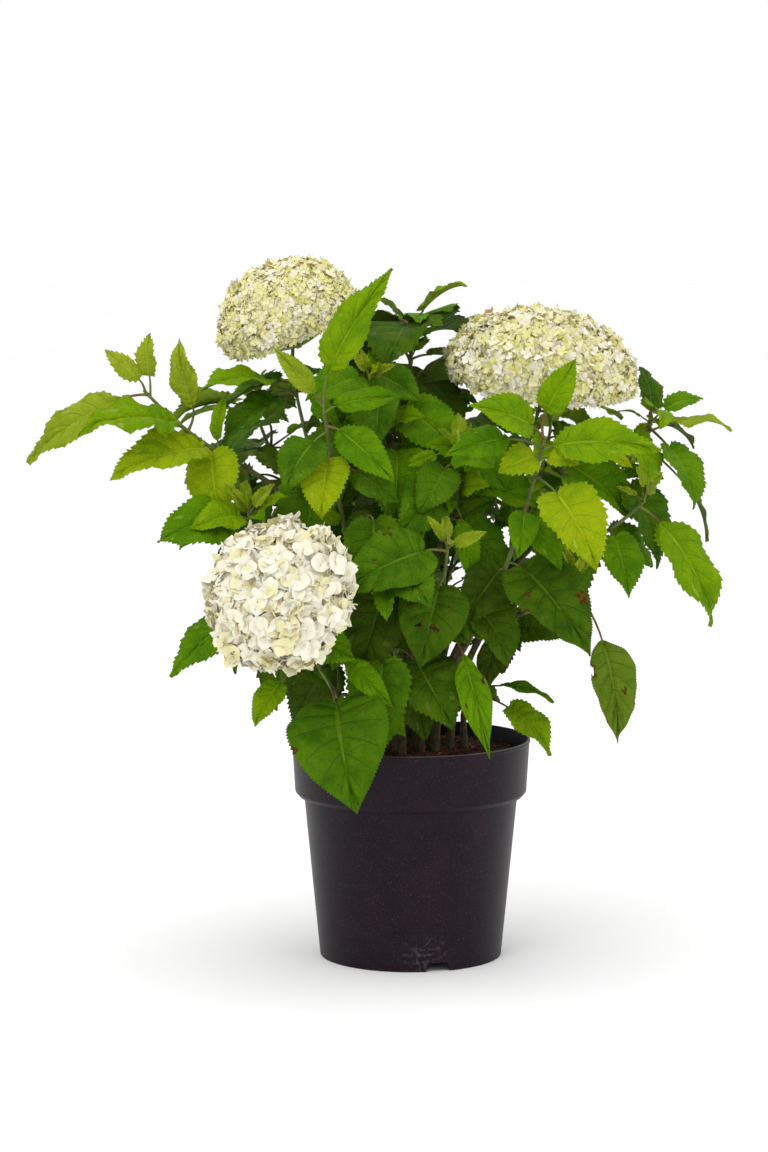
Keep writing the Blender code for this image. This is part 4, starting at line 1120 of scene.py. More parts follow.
def spotted(leafage, plan, flat, finishes):
    """Cuts a damaged leaf's holes and bites, each with a brown edge."""
    kept = []
    kept_finishes = []
    for face, look in zip(plan.faces, finishes):
        centre = flat[list(face)].mean(0) * (1, MEAN_HALF_WIDTH)
        gone = scorched = False
        for along, across, radius, brown in leafage.spots:
            away = centre - np.array([along, across * MEAN_HALF_WIDTH])
            ragged = 1 + 0.3 * math.sin(5 * math.atan2(away[1], away[0]) + 40 * along)
            distance = math.hypot(*away) / ragged
            gone = gone or distance < radius
            scorched = scorched or distance < radius + brown
        if not gone:
            kept.append(face)
            kept_finishes.append("scorch" if scorched else look)
    return kept, kept_finishes


# Limbs


def relief_tube(corners, radii, sides, steps, swellings=(), rough=0.0, seed=0):
    """A tapering limb with flat ends, swollen at some shares of its length, its skin uneven."""
    points = []
    for share, centre, ways in limb_rings(corners, sides, steps):
        radius = radii[0] + (radii[1] - radii[0]) * share
        for place, width, gain in swellings:
            radius *= 1 + gain * math.exp(-(((share - place) / width) ** 2))
        for angle, way in ways:
            skin = radius
            if rough:
                place = Vector((3 * math.cos(angle), 3 * math.sin(angle), 40 * share + seed))
                skin *= 1 + rough * noise.noise(place)
            points.append(centre + way * skin)
    points += [bezier(corners, 0.0)[0], bezier(corners, 1.0)[0]]
    faces = bands(sides, steps)
    first, last = len(points) - 2, len(points) - 1
    top = steps * sides
    for side in range(sides):
        after = (side + 1) % sides
        faces.append((first, after, side))
        faces.append((last, top + side, top + after))
    return [tuple(point) for point in points], faces


# The plant, grown. A damaged leaf's spots: along and across it, then the hole's radius and the width
# of its brown edge as shares of the leaf's length.


SPOTS = {
    ("front_right", 0.10): (
        (0.30, 0.55, 0.010, 0.030), (0.55, -0.62, 0.012, 0.040), (0.72, 0.78, 0.050, 0.022),
        (0.86, -0.66, 0.050, 0.018), (0.93, 0.30, 0.022, 0.022), (0.45, 0.95, 0.030, 0.015),
    ),
    ("low_right", 0.92): (
        (0.28, 0.95, 0.060, 0.014), (0.62, -0.92, 0.050, 0.012), (0.80, 0.55, 0.030, 0.012),
        (0.50, -0.40, 0.010, 0.014), (0.70, 0.20, 0.004, 0.014),
    ),
    ("front_middle", 0.62): (
        (0.50, -0.16, 0.030, 0.012), (0.52, 0.30, 0.032, 0.012), (0.30, 0.64, 0.004, 0.014),
        (0.70, 0.60, 0.006, 0.016), (0.24, -0.50, 0.008, 0.012),
    ),
    ("front_middle", 0.96): (
        (0.30, 0.92, 0.040, 0.014), (0.70, -0.60, 0.008, 0.016), (0.52, 0.30, 0.005, 0.010),
    ),
    ("low_left", 0.60): ((0.42, 0.94, 0.004, 0.024), (0.80, -0.70, 0.003, 0.014)),
    ("front_middle", 0.12): ((0.50, 0.70, 0.008, 0.014), (0.30, -0.75, 0.030, 0.012)),
    ("rim_right", 0.97): (
        (0.30, 0.90, 0.012, 0.040), (0.70, -0.85, 0.012, 0.050), (0.94, 0.10, 0.012, 0.040),
    ),
    ("front_right", 0.05): ((0.72, 0.20, 0.005, 0.016), (0.45, -0.90, 0.010, 0.020)),
}

# Where the light falls, and how much each part of it counts. A leaf's tone is painted light and
# shade by it: lighter tones where light falls, darker ones inside the crown.
LIT_FROM = 0.24
LIT_SPAN = 0.42
LIT_REACH = 0.30
HIGH_SHARE = 0.52
OUTER_SHARE = 0.26
FRONT_SHARE = 0.14
TONE_SPREAD = 0.17
YOUNG_GAIN = 0.1

# What a small leaf is drawn from: its bearing's and its pitch's range in degrees, how much steeper
# its petiole is, its length, its petiole's length, its roll, its width as a share, its droop and its
# fold. An axil leaf's length is a share of its shoot's leaves, and its petiole a share of its own.
Small = namedtuple("Small", "turn pitch rise length petiole roll width droop fold")
AXIL = Small(
    (-40, 40), (-35, 35), 25, (0.30, 0.58), (0.30, 0.60), (-0.5, 0.5), (0.42, 0.66), (0.3, 0.9), (0.2, 0.5)
)
TIP = Small(
    (-25, 25), (20, 60), 15, (0.024, 0.044), (0.008, 0.014), (-0.4, 0.4), (0.34, 0.5), 0.5, (0.5, 0.9)
)
AXIL_TRIALS = 5
AXIL_SEED = 4001
AXIL_LEAVES = 4
AXIL_RAISE = 0.012
TIP_SEED = 9001
TIP_LEAVES = 4
TIP_NODE = 0.985
CLOSED_TIPS = ("left_top", "front_left", "top_back", "right_top", "front_right")


def light_on(place):
    """How much light a place in the crown gets, from 0 inside it to 1 at its top and edge."""
    height = min(max((place.z - LIT_FROM) / LIT_SPAN, 0.0), 1.0)
    outer = min(math.hypot(place.x, place.y) / LIT_REACH, 1.0)
    front = min(max(0.5 - place.y / LIT_REACH, 0.0), 1.0)
    return HIGH_SHARE * height + OUTER_SHARE * outer + FRONT_SHARE * front


# A leaf's tone by the light on its place, as painted light and shade, spread at random; young leaves are
# dealt lighter ones.
def tone_for(leaf, draw, young=0.0):
    light = light_on(blade_at(leaf, 0.5)[0]) + draw.uniform(-TONE_SPREAD, TONE_SPREAD) + young
    return LIGHT_ORDER[min(max(int(light * len(LIGHT_ORDER)), 0), len(LIGHT_ORDER) - 1)]


def axil_leaf(shoot, corners, pair, side, trial):
    """A small leaf from the axil of a pair's leaf, its petiole steeper than it."""
    draw = draw_for(AXIL_SEED, shoot, pair, side, trial)
    height = pair / max(shoot.pairs - 1, 1)
    node = bezier(corners, FIRST_NODE + (LAST_NODE - FIRST_NODE) * height + AXIL_RAISE)[0]
    bearing = shoot.turn + 90 * pair + 90 * side + draw.uniform(*AXIL.turn)
    pitch = draw.uniform(*AXIL.pitch)
    length = shoot.leaf * draw.uniform(*AXIL.length)
    petiole_way = direction(bearing, pitch + AXIL.rise)
    chord = direction(bearing, pitch)
    base = node + petiole_way * length * draw.uniform(*AXIL.petiole)
    face = face_of(chord, base, draw.uniform(*AXIL.roll))
    width = length * draw.uniform(*AXIL.width)
    root = node + petiole_way * ROOT_START
    droop = draw.uniform(*AXIL.droop)
    return Leaf(root, base, chord, face, length, width, droop, draw.uniform(*AXIL.fold))


def tip_leaf(shoot, corners, number, trial):
    """One of the young, half-folded leaves round a shoot's growing tip."""
    draw = draw_for(TIP_SEED, shoot, 0, number, trial)
    node = bezier(corners, TIP_NODE)[0]
    bearing = shoot.turn + 360 / TIP_LEAVES * number + draw.uniform(*TIP.turn)
    pitch = draw.uniform(*TIP.pitch)
    length = draw.uniform(*TIP.length)
    petiole_way = direction(bearing, pitch + TIP.rise)
    chord = direction(bearing, pitch)
    base = node + petiole_way * draw.uniform(*TIP.petiole)
    face = face_of(chord, base, draw.uniform(*TIP.roll))
    root = node + petiole_way * ROOT_START
    width = length * draw.uniform(*TIP.width)
    return Leaf(root, base, chord, face, length, width, TIP.droop, draw.uniform(*TIP.fold))


def inside_box(leaf):
    """Whether a leaf keeps inside the solids' own box."""
    low, high = cad_box
    ends = (leaf.base, blade_at(leaf, 0.5)[0], blade_at(leaf, 1.0)[0])
    return all(low[axis] < end[axis] < high[axis] for end in ends for axis in range(3))


def grow_fine_leaves(crown, stems):
    """The source's leaves in its own order, then those that only show from near."""
    grown = {shoot.name: [] for shoot in SHOOTS}
    by_name = {shoot.name: shoot for shoot in SHOOTS}

    def grow(leaf, shoot, tone=None, spots=(), young=0.0):
        """Grows a leaf if it has room. Its number is its seed."""
        if not has_room(crown, leaf, shoot):
            return False
        number = 1 + sum(len(leaves) for leaves in grown.values())
        tone = tone or tone_for(leaf, random.Random(number), young)
        grown[shoot.name].append(Leafage(leaf, tone, number, spots))
        crown.add(leaf_skin(leaf), shoot.name)
        return True

    def grow_posed(rows):
        for posed in rows:
            spots = SPOTS.get((posed.shoot, posed.node), ())
            grow(posed_leaf(posed, stems[posed.shoot]), by_name[posed.shoot], posed.tone, spots)

    grow_posed(POSED_LEAVES)
    for shoot in SHOOTS:
        for pair in range(shoot.pairs):
            for side in range(2):
                for trial in range(TRIALS):
                    leaf = paired_leaf(shoot, stems[shoot.name], pair, side, trial)
                    if above_underside(leaf) and grow(leaf, shoot):
                        break
    grow_posed(FINE_LEAVES)
    crowned = {bloom.shoot for bloom in BLOOMS}
    for shoot in SHOOTS:
        small = [
            (axil_leaf, (pair, side)) for pair in range(shoot.pairs) for side in range(AXIL_LEAVES)
        ]
        if shoot.name not in crowned and shoot.name not in CLOSED_TIPS:
            small += [(tip_leaf, (number,)) for number in range(TIP_LEAVES)]
        for make, place in small:
            tone = "young" if make is tip_leaf else None
            for trial in range(AXIL_TRIALS):
                leaf = make(shoot, stems[shoot.name], *place, trial)
                if inside_box(leaf) and grow(leaf, shoot, tone, young=YOUNG_GAIN):
                    break
    return grown


curves = {}
stems = {}
crown = Crown()
for shoot in SHOOTS:
    curves[shoot.name] = bough_corners(shoot, curves)
    stems[shoot.name] = stem_corners(shoot)
    crown.add(tube(*curves[shoot.name], LIMB_SIDES, LIMB_STEPS), "limbs")
    crown.add(stem_skin(stems[shoot.name]), shoot.name)
for bloom in BLOOMS:
    crown.add(dome_skin(bloom, FLORET_RISE + LEAF_TO_BLOOM), "blooms")
    crown.add(stalk_skin(bloom, stems), "blooms")
crown.add(pot_space(), "pot")
grown = grow_fine_leaves(crown, stems)


# The foliage and the canes, as pieces. A swelling is its place and its width as shares of the limb's
# length, and its gain.


SMALL_LEAF = 0.050
LARGE_PLAN = blade_plan(7, 2, COLUMNS)
SMALL_PLAN = blade_plan(5, 1, SMALL_COLUMNS)
FINE_PLAN = blade_plan(7, 6, FINE_COLUMNS)
STEM_DETAIL = (10, 30)
STEM_ROUGH = 0.10
STEM_SEED = 1.7
NODE_SWELLING = (0.02, 0.5)
PETIOLE_DETAIL = (6, 6)
PETIOLE_ENDS = (0.0017, 0.0010)
PETIOLE_SINK = 0.0012
PETIOLE_MEETS = 0.02
PETIOLE_UNDER = 0.0006
PETIOLE_FOOT = (0.0, 0.08, 0.35)
SLIM_START = 0.45
SLIM_LEAF = 0.12
CANE_SIDES = 12
CANE_STEP = 0.004
CANE_ROUGH = 0.16
CANE_FOOT = (0.0, 0.02, 0.25)
SCAR_PITCH = 0.055
SCAR_WIDTH = 0.008
SCAR_START = 0.06
SCAR_GAIN = 0.22

pieces = []


def petiole_skin(leaf):
    """A leaf's stalk, from inside the stem to just under the foot of the blade."""
    base, way, above = blade_at(leaf, PETIOLE_MEETS)
    toward = (leaf.base - leaf.root).normalized()
    root = leaf.root - toward * PETIOLE_SINK
    bend = base - way * 0.5 * (base - root).length
    curve = (*bent(root, bend, base)[:3], base - above * PETIOLE_UNDER)
    slim = min(1.0, SLIM_START + leaf.length / SLIM_LEAF)
    ends = (PETIOLE_ENDS[0] * slim, PETIOLE_ENDS[1] * slim)
    return relief_tube(curve, ends, *PETIOLE_DETAIL, [PETIOLE_FOOT])


def make_foliage(shoot):
    """A shoot's leaves as one piece, and its stem and its petioles as another."""
    blades = Pile()
    twigs = Pile()
    swellings = []
    for pair in range(shoot.pairs):
        node = FIRST_NODE + (LAST_NODE - FIRST_NODE) * pair / max(shoot.pairs - 1, 1)
        swellings.append((node, *NODE_SWELLING))
    radii = (FORK_RADIUS, TIP_RADIUS)
    stem = relief_tube(stems[shoot.name], radii, *STEM_DETAIL, swellings, STEM_ROUGH, STEM_SEED)
    twigs.add(*stem, "stem_green")
    for leafage in grown[shoot.name]:
        leaf = leafage.leaf
        plain = LARGE_PLAN if leaf.length > SMALL_LEAF else SMALL_PLAN
        add_leaf(blades, leafage, FINE_PLAN if leafage.spots else plain)
        twigs.add(*petiole_skin(leaf), "petiole" if leafage.seed % 3 else "stem_green")
    made = blades.make("leaves_" + shoot.name)
    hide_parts("foliage_" + shoot.name)
    pieces.append(made)
    made = twigs.make("twigs_" + shoot.name)
    pieces.append(made)


def make_bark(shoot):
    """A cane or a side bough, ringed by old leaf scars, and flared where it leaves the soil."""
    limb = Pile()
    curve, radii = curves[shoot.name]
    length = (curve[3] - curve[0]).length
    draw = random.Random(shoot.name)
    swellings = [
        (number * SCAR_PITCH / length + SCAR_START, SCAR_WIDTH / length, SCAR_GAIN)
        for number in range(1, int(length / SCAR_PITCH))
    ]
    if shoot.carrier is None:
        swellings.append(CANE_FOOT)
    steps = int(length / CANE_STEP)
    seed = draw.uniform(0, 9)
    skin = relief_tube(curve, radii, CANE_SIDES, steps, swellings, CANE_ROUGH, seed)
    limb.add(*skin, "cane_bark")
    node = ("cane_" if shoot.carrier is None else "side_bough_") + shoot.name
    made = limb.make("bark_" + node)
    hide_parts(node)
    pieces.append(made)


for shoot in SHOOTS:
    make_foliage(shoot)
for shoot in SHOOTS:
    make_bark(shoot)


# Blooms. What sets each apart: its florets, a sepal's length, cells, point and width, how deep the
# clusters' valleys lie and how close they stand, the petals' tones on top and below, and the share
# of florets left out. The pale cream and yellow-green below are partly the greener inner florets and
# partly painted light for the glow through the petals into the bloom's gaps.


Habit = namedtuple("Habit", "florets sepal cells point width lumps cluster tones depth_tones gap")
CREAM, WHITE, GREEN = "petal_cream", "petal_white", "petal_green"
HABITS = {
    "left": Habit(
        1700, 0.0060, 2, 1.0, 0.44, 0.005, 46.0, (CREAM, CREAM, WHITE, GREEN), (GREEN,), 0.04
    ),
    "right": Habit(
        1900, 0.0068, 2, 1.0, 0.46, 0.007, 40.0, (CREAM, CREAM, WHITE, WHITE, GREEN), (GREEN,), 0.05
    ),
    "low": Habit(
        460, 0.0118, 4, 0.6, 0.62, 0.012, 27.0, (WHITE,) * 6 + (CREAM,), (WHITE, CREAM), 0.03
    ),
}
CLUSTER_VALLEY = 0.30
CLUSTER_SWELL = 28.0

# A bloom's layers of florets: the layer, its share of the florets, and how far below the dome it
# lies, as a length and as a share of a sepal's. Then how its florets stray, in radians and metres.
LAYERS = (("depth", 0.80, 0.0030, 0.25), ("top", 1.0, 0.0, 0.35))
SPREAD_BEYOND = 4
FLORET_STRAY = 0.06
FLORET_SUNK = (-0.0015, 0.0030)
FLORET_TILT = 0.55
TILT_SHARE = 0.9

# The patch of a bloom that has begun to turn tan
AGED = ("left", "right")
AGED_BEARING = 0.6
AGED_REACH = 0.30
AGED_SHARE = 0.24

# What a sepal is drawn from, as shares of its length and in radians
SEPALS = 4
SEPAL_START = 0.05
SEPAL_END = 0.97
SEPAL_FULLNESS = 0.75
SEPAL_STRAY = 0.15
SEPAL_LENGTH = (0.80, 1.20)
SEPAL_PITCH = (0.0, 0.62)
SEPAL_CUP = (-0.30, 0.35)
SEPAL_ROLL = 0.35
SEPAL_EDGE = 0.12
SEPAL_OVERLAP = 0.07
BUTTON = 0.14
BUTTON_RISE = 1.6

# The body under a bloom's florets, and the pedicels that carry them
BODY_RINGS = 14
BODY_SIDES = 28
BODY_DEPTH = 0.015
BODY_RAISE = 0.45
BODY_UNEVEN = 0.003
BODY_GRAIN = 90.0
STALK_DETAIL = (10, 24)
STALK_ROUGH = 0.08
STALK_SEED = 3.1
PEDICELS = 64
PEDICEL_RADII = (0.0011, 0.0006)
PEDICEL_DETAIL = (5, 6)
PEDICEL_FAN = 26
PEDICEL_END = 0.006
PEDICEL_BEND = 0.004
HUB_SHARE = 0.75
HUB_OVERLAP = 0.003


def sepal_grid(cells, point, width):
    """A sepal's flat grid: along its length, across its width, and its faces."""
    alongs = np.linspace(SEPAL_START, 1.0, cells + 1)
    acrosses = np.linspace(-1.0, 1.0, cells + 1)
    along, across = (grid.ravel() for grid in np.meshgrid(alongs, acrosses, indexing="ij"))
    rounded_off = np.clip(along, 0, SEPAL_END) ** SEPAL_FULLNESS
    wide = width * np.sin(math.pi * rounded_off) ** point
    faces = []
    for row in range(cells):
        for column in range(cells):
            low = row * (cells + 1) + column
            faces.append((low, low + 1, low + cells + 2, low + cells + 1))
    return along, across, wide, faces


def add_floret(pile, grid, seat, out, size, draw, look):
    """Four rounded, cupped sepals round a small green button."""
    along, across, wide, faces = grid
    turn = draw.uniform(0, FULL_TURN)
    first = np.array(out.orthogonal().normalized())
    up = np.array(out)
    second = np.cross(up, first)
    for number in range(SEPALS):
        angle = turn + FULL_TURN * number / SEPALS + draw.uniform(-SEPAL_STRAY, SEPAL_STRAY)
        length = size * draw.uniform(*SEPAL_LENGTH)
        pitch = draw.uniform(*SEPAL_PITCH)
        cup = draw.uniform(*SEPAL_CUP)
        roll = draw.uniform(-SEPAL_ROLL, SEPAL_ROLL)
        way = first * math.cos(angle) + second * math.sin(angle)
        side = second * math.cos(angle) - first * math.sin(angle)
        reach = (along * length)[:, None]
        beside = (across * wide * length)[:, None]
        lift = along * math.sin(pitch) + cup * along**2 + roll * across * wide
        lift = lift - SEPAL_EDGE * across**2 * along
        lift = lift + (SEPAL_OVERLAP if number % 2 else 0.0)
        rise = up * (lift * length)[:, None]
        points = np.array(seat) + way * reach * math.cos(pitch) + side * beside + rise
        pile.add(points, faces, look)
    radius = size * BUTTON
    button = [seat + out * radius * BUTTON_RISE]
    for number in range(SEPALS):
        angle = turn + FULL_TURN * number / SEPALS
        edge = seat + Vector(first) * math.cos(angle) * radius
        button.append(edge + Vector(second) * math.sin(angle) * radius)
    faces = [(0, 1, 2), (0, 2, 3), (0, 3, 4), (0, 4, 1)]
    pile.add([tuple(point) for point in button], faces, GREEN)


def bloom_floor(bloom, polar, around, grown_by, lumps, cluster):
    """A point of the bloom's surface, sunk between the clusters, and the way it faces."""
    point = dome_point(bloom, polar, around, grown_by)
    out = (dome_point(bloom, polar, around, grown_by + 0.002) - point).normalized()
    distances, centres = noise.voronoi(point * cluster)
    valley = math.exp(-(((distances[1] - distances[0]) / CLUSTER_VALLEY) ** 2))
    aside = point - centres[0] / cluster
    aside -= out * aside.dot(out)
    return point - out * lumps * valley, (out + aside * CLUSTER_SWELL).normalized()


def in_aged_patch(polar, around):
    east = polar * math.cos(around - AGED_BEARING)
    return math.hypot(east, 0.5 * polar * math.sin(around)) < AGED_REACH


def add_florets(petals, bloom, habit):
    """A deep layer of florets, then the top one with its gaps."""
    grid = sepal_grid(habit.cells, habit.point, habit.width)
    draw = random.Random("bloom " + bloom.name)
    cap = 1.0 - math.cos(math.radians(bloom.spread + SPREAD_BEYOND))
    for layer, share, deep, part in LAYERS:
        florets = int(habit.florets * share)
        lower = deep + habit.sepal * part
        on_top = layer == "top"
        for number in range(florets):
            polar = math.acos(1.0 - cap * (number + draw.random()) / florets)
            around = GOLDEN_ANGLE * number + draw.uniform(-FLORET_STRAY, FLORET_STRAY)
            if on_top and draw.random() < habit.gap:
                continue
            sunk = lower + draw.uniform(*FLORET_SUNK)
            seat, out = bloom_floor(bloom, polar, around, -sunk, habit.lumps, habit.cluster)
            tilt = Vector([draw.uniform(-FLORET_TILT, FLORET_TILT) for axis in range(3)])
            facing = (out + tilt * TILT_SHARE).normalized()
            aged = on_top and bloom.name in AGED and in_aged_patch(polar, around)
            if aged and draw.random() < AGED_SHARE:
                look = "petal_tan"
            else:
                look = draw.choice(habit.tones if on_top else habit.depth_tones)
            add_floret(petals, grid, seat, facing, habit.sepal, draw, look)


def bloom_body(bloom):
    """The lumpy body under the florets, its underside drawn up."""
    points = []
    axis = axis_of(bloom)
    for ring in range(BODY_RINGS + 1):
        for side in range(BODY_SIDES):
            polar = math.pi * ring / BODY_RINGS
            point = dome_point(bloom, polar, FULL_TURN * side / BODY_SIDES, -BODY_DEPTH)
            out = (point - middle_of(bloom)).normalized()
            if math.cos(polar) < 0:
                point += axis * bloom.skirt * BODY_RAISE * abs(math.cos(polar))
            points.append(tuple(point + out * BODY_UNEVEN * noise.noise(point * BODY_GRAIN)))
    return points, bands(BODY_SIDES, BODY_RINGS, flipped=True)


def add_pedicels(body, bloom):
    axis = axis_of(bloom)
    hub = middle_of(bloom) - axis * bloom.skirt * HUB_SHARE
    for number in range(PEDICELS):
        fan = PEDICEL_FAN * ((number * 7) % 10) / 10
        polar = math.radians(bloom.spread - PEDICEL_FAN + fan)
        end = dome_point(bloom, polar, GOLDEN_ANGLE * number, -PEDICEL_END)
        way = (end - hub).normalized()
        start, low = hub - way * HUB_OVERLAP, hub.lerp(end, 0.35) - axis * PEDICEL_BEND
        curve = (start, low, hub.lerp(end, 0.7), end)
        body.add(*relief_tube(curve, PEDICEL_RADII, *PEDICEL_DETAIL), "pedicel")


for bloom in BLOOMS:
    petals = Pile()
    add_florets(petals, bloom, HABITS[bloom.name])
    made = petals.make("florets_" + bloom.name)
    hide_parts("bloom_" + bloom.name)
    pieces.append(made)
    body = Pile()
    body.add(*bloom_body(bloom), "bloom_depth")
    curve, radii = stalk_corners(bloom, stems), (TIP_RADIUS, STALK_RADIUS)
    stalk = relief_tube(curve, radii, *STALK_DETAIL, (), STALK_ROUGH, STALK_SEED)
    body.add(*stalk, "stem_green")
    add_pedicels(body, bloom)
    made = body.make("bloom_frame_" + bloom.name)
    pieces.append(made)


# The pot


FINE_SIDES = 160
DRAIN_SIDES = 24
EDGE_ROUND = 0.0005
ROUND_STEPS = 3
# The band of the lip's outer top edge that is partly worn and partly a painted highlight
WORN_HIGHLIT_HEIGHT = 0.0009
WORN_HIGHLIT_WIDTH = 0.0012
SHARP_ANGLE = 32


def rounded(profile, radius):
    """A profile with each of its corners rounded."""
    made = [profile[0]]
    for number in range(1, len(profile) - 1):
        before, corner, after = (np.array(profile[number + step]) for step in (-1, 0, 1))
        spans = (np.linalg.norm(before - corner), np.linalg.norm(after - corner))
        cut = min(radius, 0.4 * spans[0], 0.4 * spans[1])
        start = corner + (before - corner) / spans[0] * cut
        end = corner + (after - corner) / spans[1] * cut
        for step in range(ROUND_STEPS + 1):
            share = step / ROUND_STEPS
            point = start * (1 - share) ** 2 + corner * 2 * share * (1 - share) + end * share**2
            made.append(tuple(point))
    made.append(profile[-1])
    return made


def turned(profile, sides, look):
    """A solid of revolution in a Pile. The profile's first and last points are on the axis."""
    points = [(0.0, 0.0, profile[0][1])]
    for radius, height in profile[1:-1]:
        points += circle(radius, height, sides)
    points.append((0.0, 0.0, profile[-1][1]))
    last = len(points) - 1
    faces = []
    for side in range(sides):
        after = (side + 1) % sides
        faces.append((0, 1 + after, 1 + side))
        faces.append((last, last - sides + side, last - sides + after))
        for ring in range(len(profile) - 3):
            low = 1 + ring * sides
            faces.append((low + side, low + after, low + sides + after, low + sides + side))
    pile = Pile()
    pile.add(points, faces, look)
    return pile


def prism(points, name):
    """A cutter whose two ends are the first and the second half of its points."""
    count = len(points) // 2
    ends = [tuple(range(count - 1, -1, -1)), tuple(range(count, 2 * count))]
    mesh = bpy.data.meshes.new(name)
    mesh.from_pydata([tuple(point) for point in points], [], ends + bands(count, 1))
    mesh.materials.append(looks["pot_plastic"])
    return bpy.data.objects.new(name, mesh)


def notch_cutter(turn, number):
    """A wedge, wider at the ground, that cuts a drain notch through the foot ring."""
    reach = (POT_FOOT_RADIUS - NOTCH_DEPTH, POT_FOOT_RADIUS + NOTCH_DEPTH)
    half, half_top, below = NOTCH_WIDTH / 2, NOTCH_TOP_WIDTH / 2, -CUTTER_OVERRUN
    outline = (
        (-half, below), (half, below), (half, 0.0),
        (half_top, NOTCH_HEIGHT), (-half_top, NOTCH_HEIGHT), (-half, 0.0),
    )
    points = [turn @ Vector((x, y, z)) for x in reach for y, z in outline]
    return prism(points, "notch" + str(number))


def drain_cutter(turn, number):
    """A round bar that cuts a drain hole through the floor."""
    points = []
    for height in (CHANNEL_RISE - CUTTER_OVERRUN, CHANNEL_RISE + POT_WALL + CUTTER_OVERRUN):
        for x, y, z in circle(DRAIN_RADIUS, height, DRAIN_SIDES):
            points.append(turn @ Vector((DRAIN_RING + x, y, z)))
    return prism(points, "drain" + str(number))


def cut_away(solid, cutters):
    """Cuts a solid by each of the cutters, and removes them."""
    group = bpy.data.collections.new("cutters")
    bpy.context.scene.collection.children.link(group)
    for cutter in cutters:
        group.objects.link(cutter)
    cut = solid.modifiers.new("cut", "BOOLEAN")
    cut.operand_type = "COLLECTION"
    cut.collection = group
    cut.operation = "DIFFERENCE"
    cut.solver = "EXACT"
    graph = bpy.context.evaluated_depsgraph_get()
    mesh = bpy.data.meshes.new_from_object(solid.evaluated_get(graph), depsgraph=graph)
    solid.modifiers.clear()
    solid.data = mesh
    for cutter in cutters:
        bpy.data.objects.remove(cutter, do_unlink=True)
    bpy.data.collections.remove(group)


pot = turned(rounded(pot_profile(), EDGE_ROUND), FINE_SIDES, "pot_plastic").make("pot_shell")
cutters = []
for number in range(NOTCH_COUNT):
    turn = Matrix.Rotation(FIRST_NOTCH + FULL_TURN * number / NOTCH_COUNT, 4, "Z")
    cutters.append(notch_cutter(turn, number))
for number in range(DRAIN_COUNT):
    turn = Matrix.Rotation(FULL_TURN * (number + 0.5) / DRAIN_COUNT, 4, "Z")
    cutters.append(drain_cutter(turn, number))
cut_away(pot, cutters)
# The lip's outer top edge takes a paler grey: partly wear, partly a painted highlight
pot.data.materials.append(looks["rim_edge"])
for polygon in pot.data.polygons:
    at = polygon.center
    outer = math.hypot(at.x, at.y) > POT_TOP_RADIUS - WORN_HIGHLIT_WIDTH
    if at.z > POT_HEIGHT - WORN_HIGHLIT_HEIGHT and outer:
        polygon.material_index = 1
pot.data.set_sharp_from_angle(angle=math.radians(SHARP_ANGLE))
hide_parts("pot")
pieces.append(pot)


# The growing medium


SOIL_RINGS = 40
SOIL_SIDES = 120
SOIL_LIFT = 0.0006
SOIL_MIDDLE = 0.0001
SOIL_WAVE = (0.0016, 70)
SOIL_GRAIN = (0.0008, 220)
SHREDS = 2600
SHRED_INSET = 0.004
SHRED_RISE = 0.0022
SHRED_PITCH = 18
SHRED_BOW = 0.003
SHRED_UNEVEN = 0.0004
SHRED_CLEAR = 0.001
STRAND_THICKNESS = 0.7

# Shredded bark: its length, its width and its thickness, its lengths of four sides each, how much
# narrower its ends are, and its looks. A strand's thickness is a share of its width.
Shred = namedtuple("Shred", "length width thickness stations taper looks")
CHIP = Shred(
    (0.006, 0.016), (0.0016, 0.0034), (0.0006, 0.0014), 2, 0.5,
    ("bark_red", "bark_red", "bark_red", "bark_dark", "bark_pale"),
)
STRAND = Shred(
    (0.012, 0.034), (0.0003, 0.0009), None, 4, 0.75, ("bark_red", "bark_red", "bark_dark")
)


def soil_height(x, y):
    """The mound's level, uneven as shredded bark lies."""
    reach = math.hypot(x, y)
    edge = wall_radius(SOIL_EDGE_LEVEL) - POT_WALL
    share = min(max((reach - SOIL_FLAT_RADIUS) / (edge - SOIL_FLAT_RADIUS), 0.0), 1.0)
    level = SOIL_LEVEL + (SOIL_EDGE_LEVEL - SOIL_LEVEL) * share
    for (depth, scale), layer in ((SOIL_WAVE, 1.0), (SOIL_GRAIN, 5.0)):
        level += depth * noise.noise(Vector((x * scale, y * scale, layer)))
    return level


def soil_skin(edge):
    points = []
    for ring in range(SOIL_RINGS + 1):
        reach = max(edge * ring / SOIL_RINGS, SOIL_MIDDLE)
        for x, y, level in circle(reach, SOIL_LIFT, SOIL_SIDES):
            points.append((x, y, soil_height(x, y) + level))
    return points, bands(SOIL_SIDES, SOIL_RINGS, flipped=True)


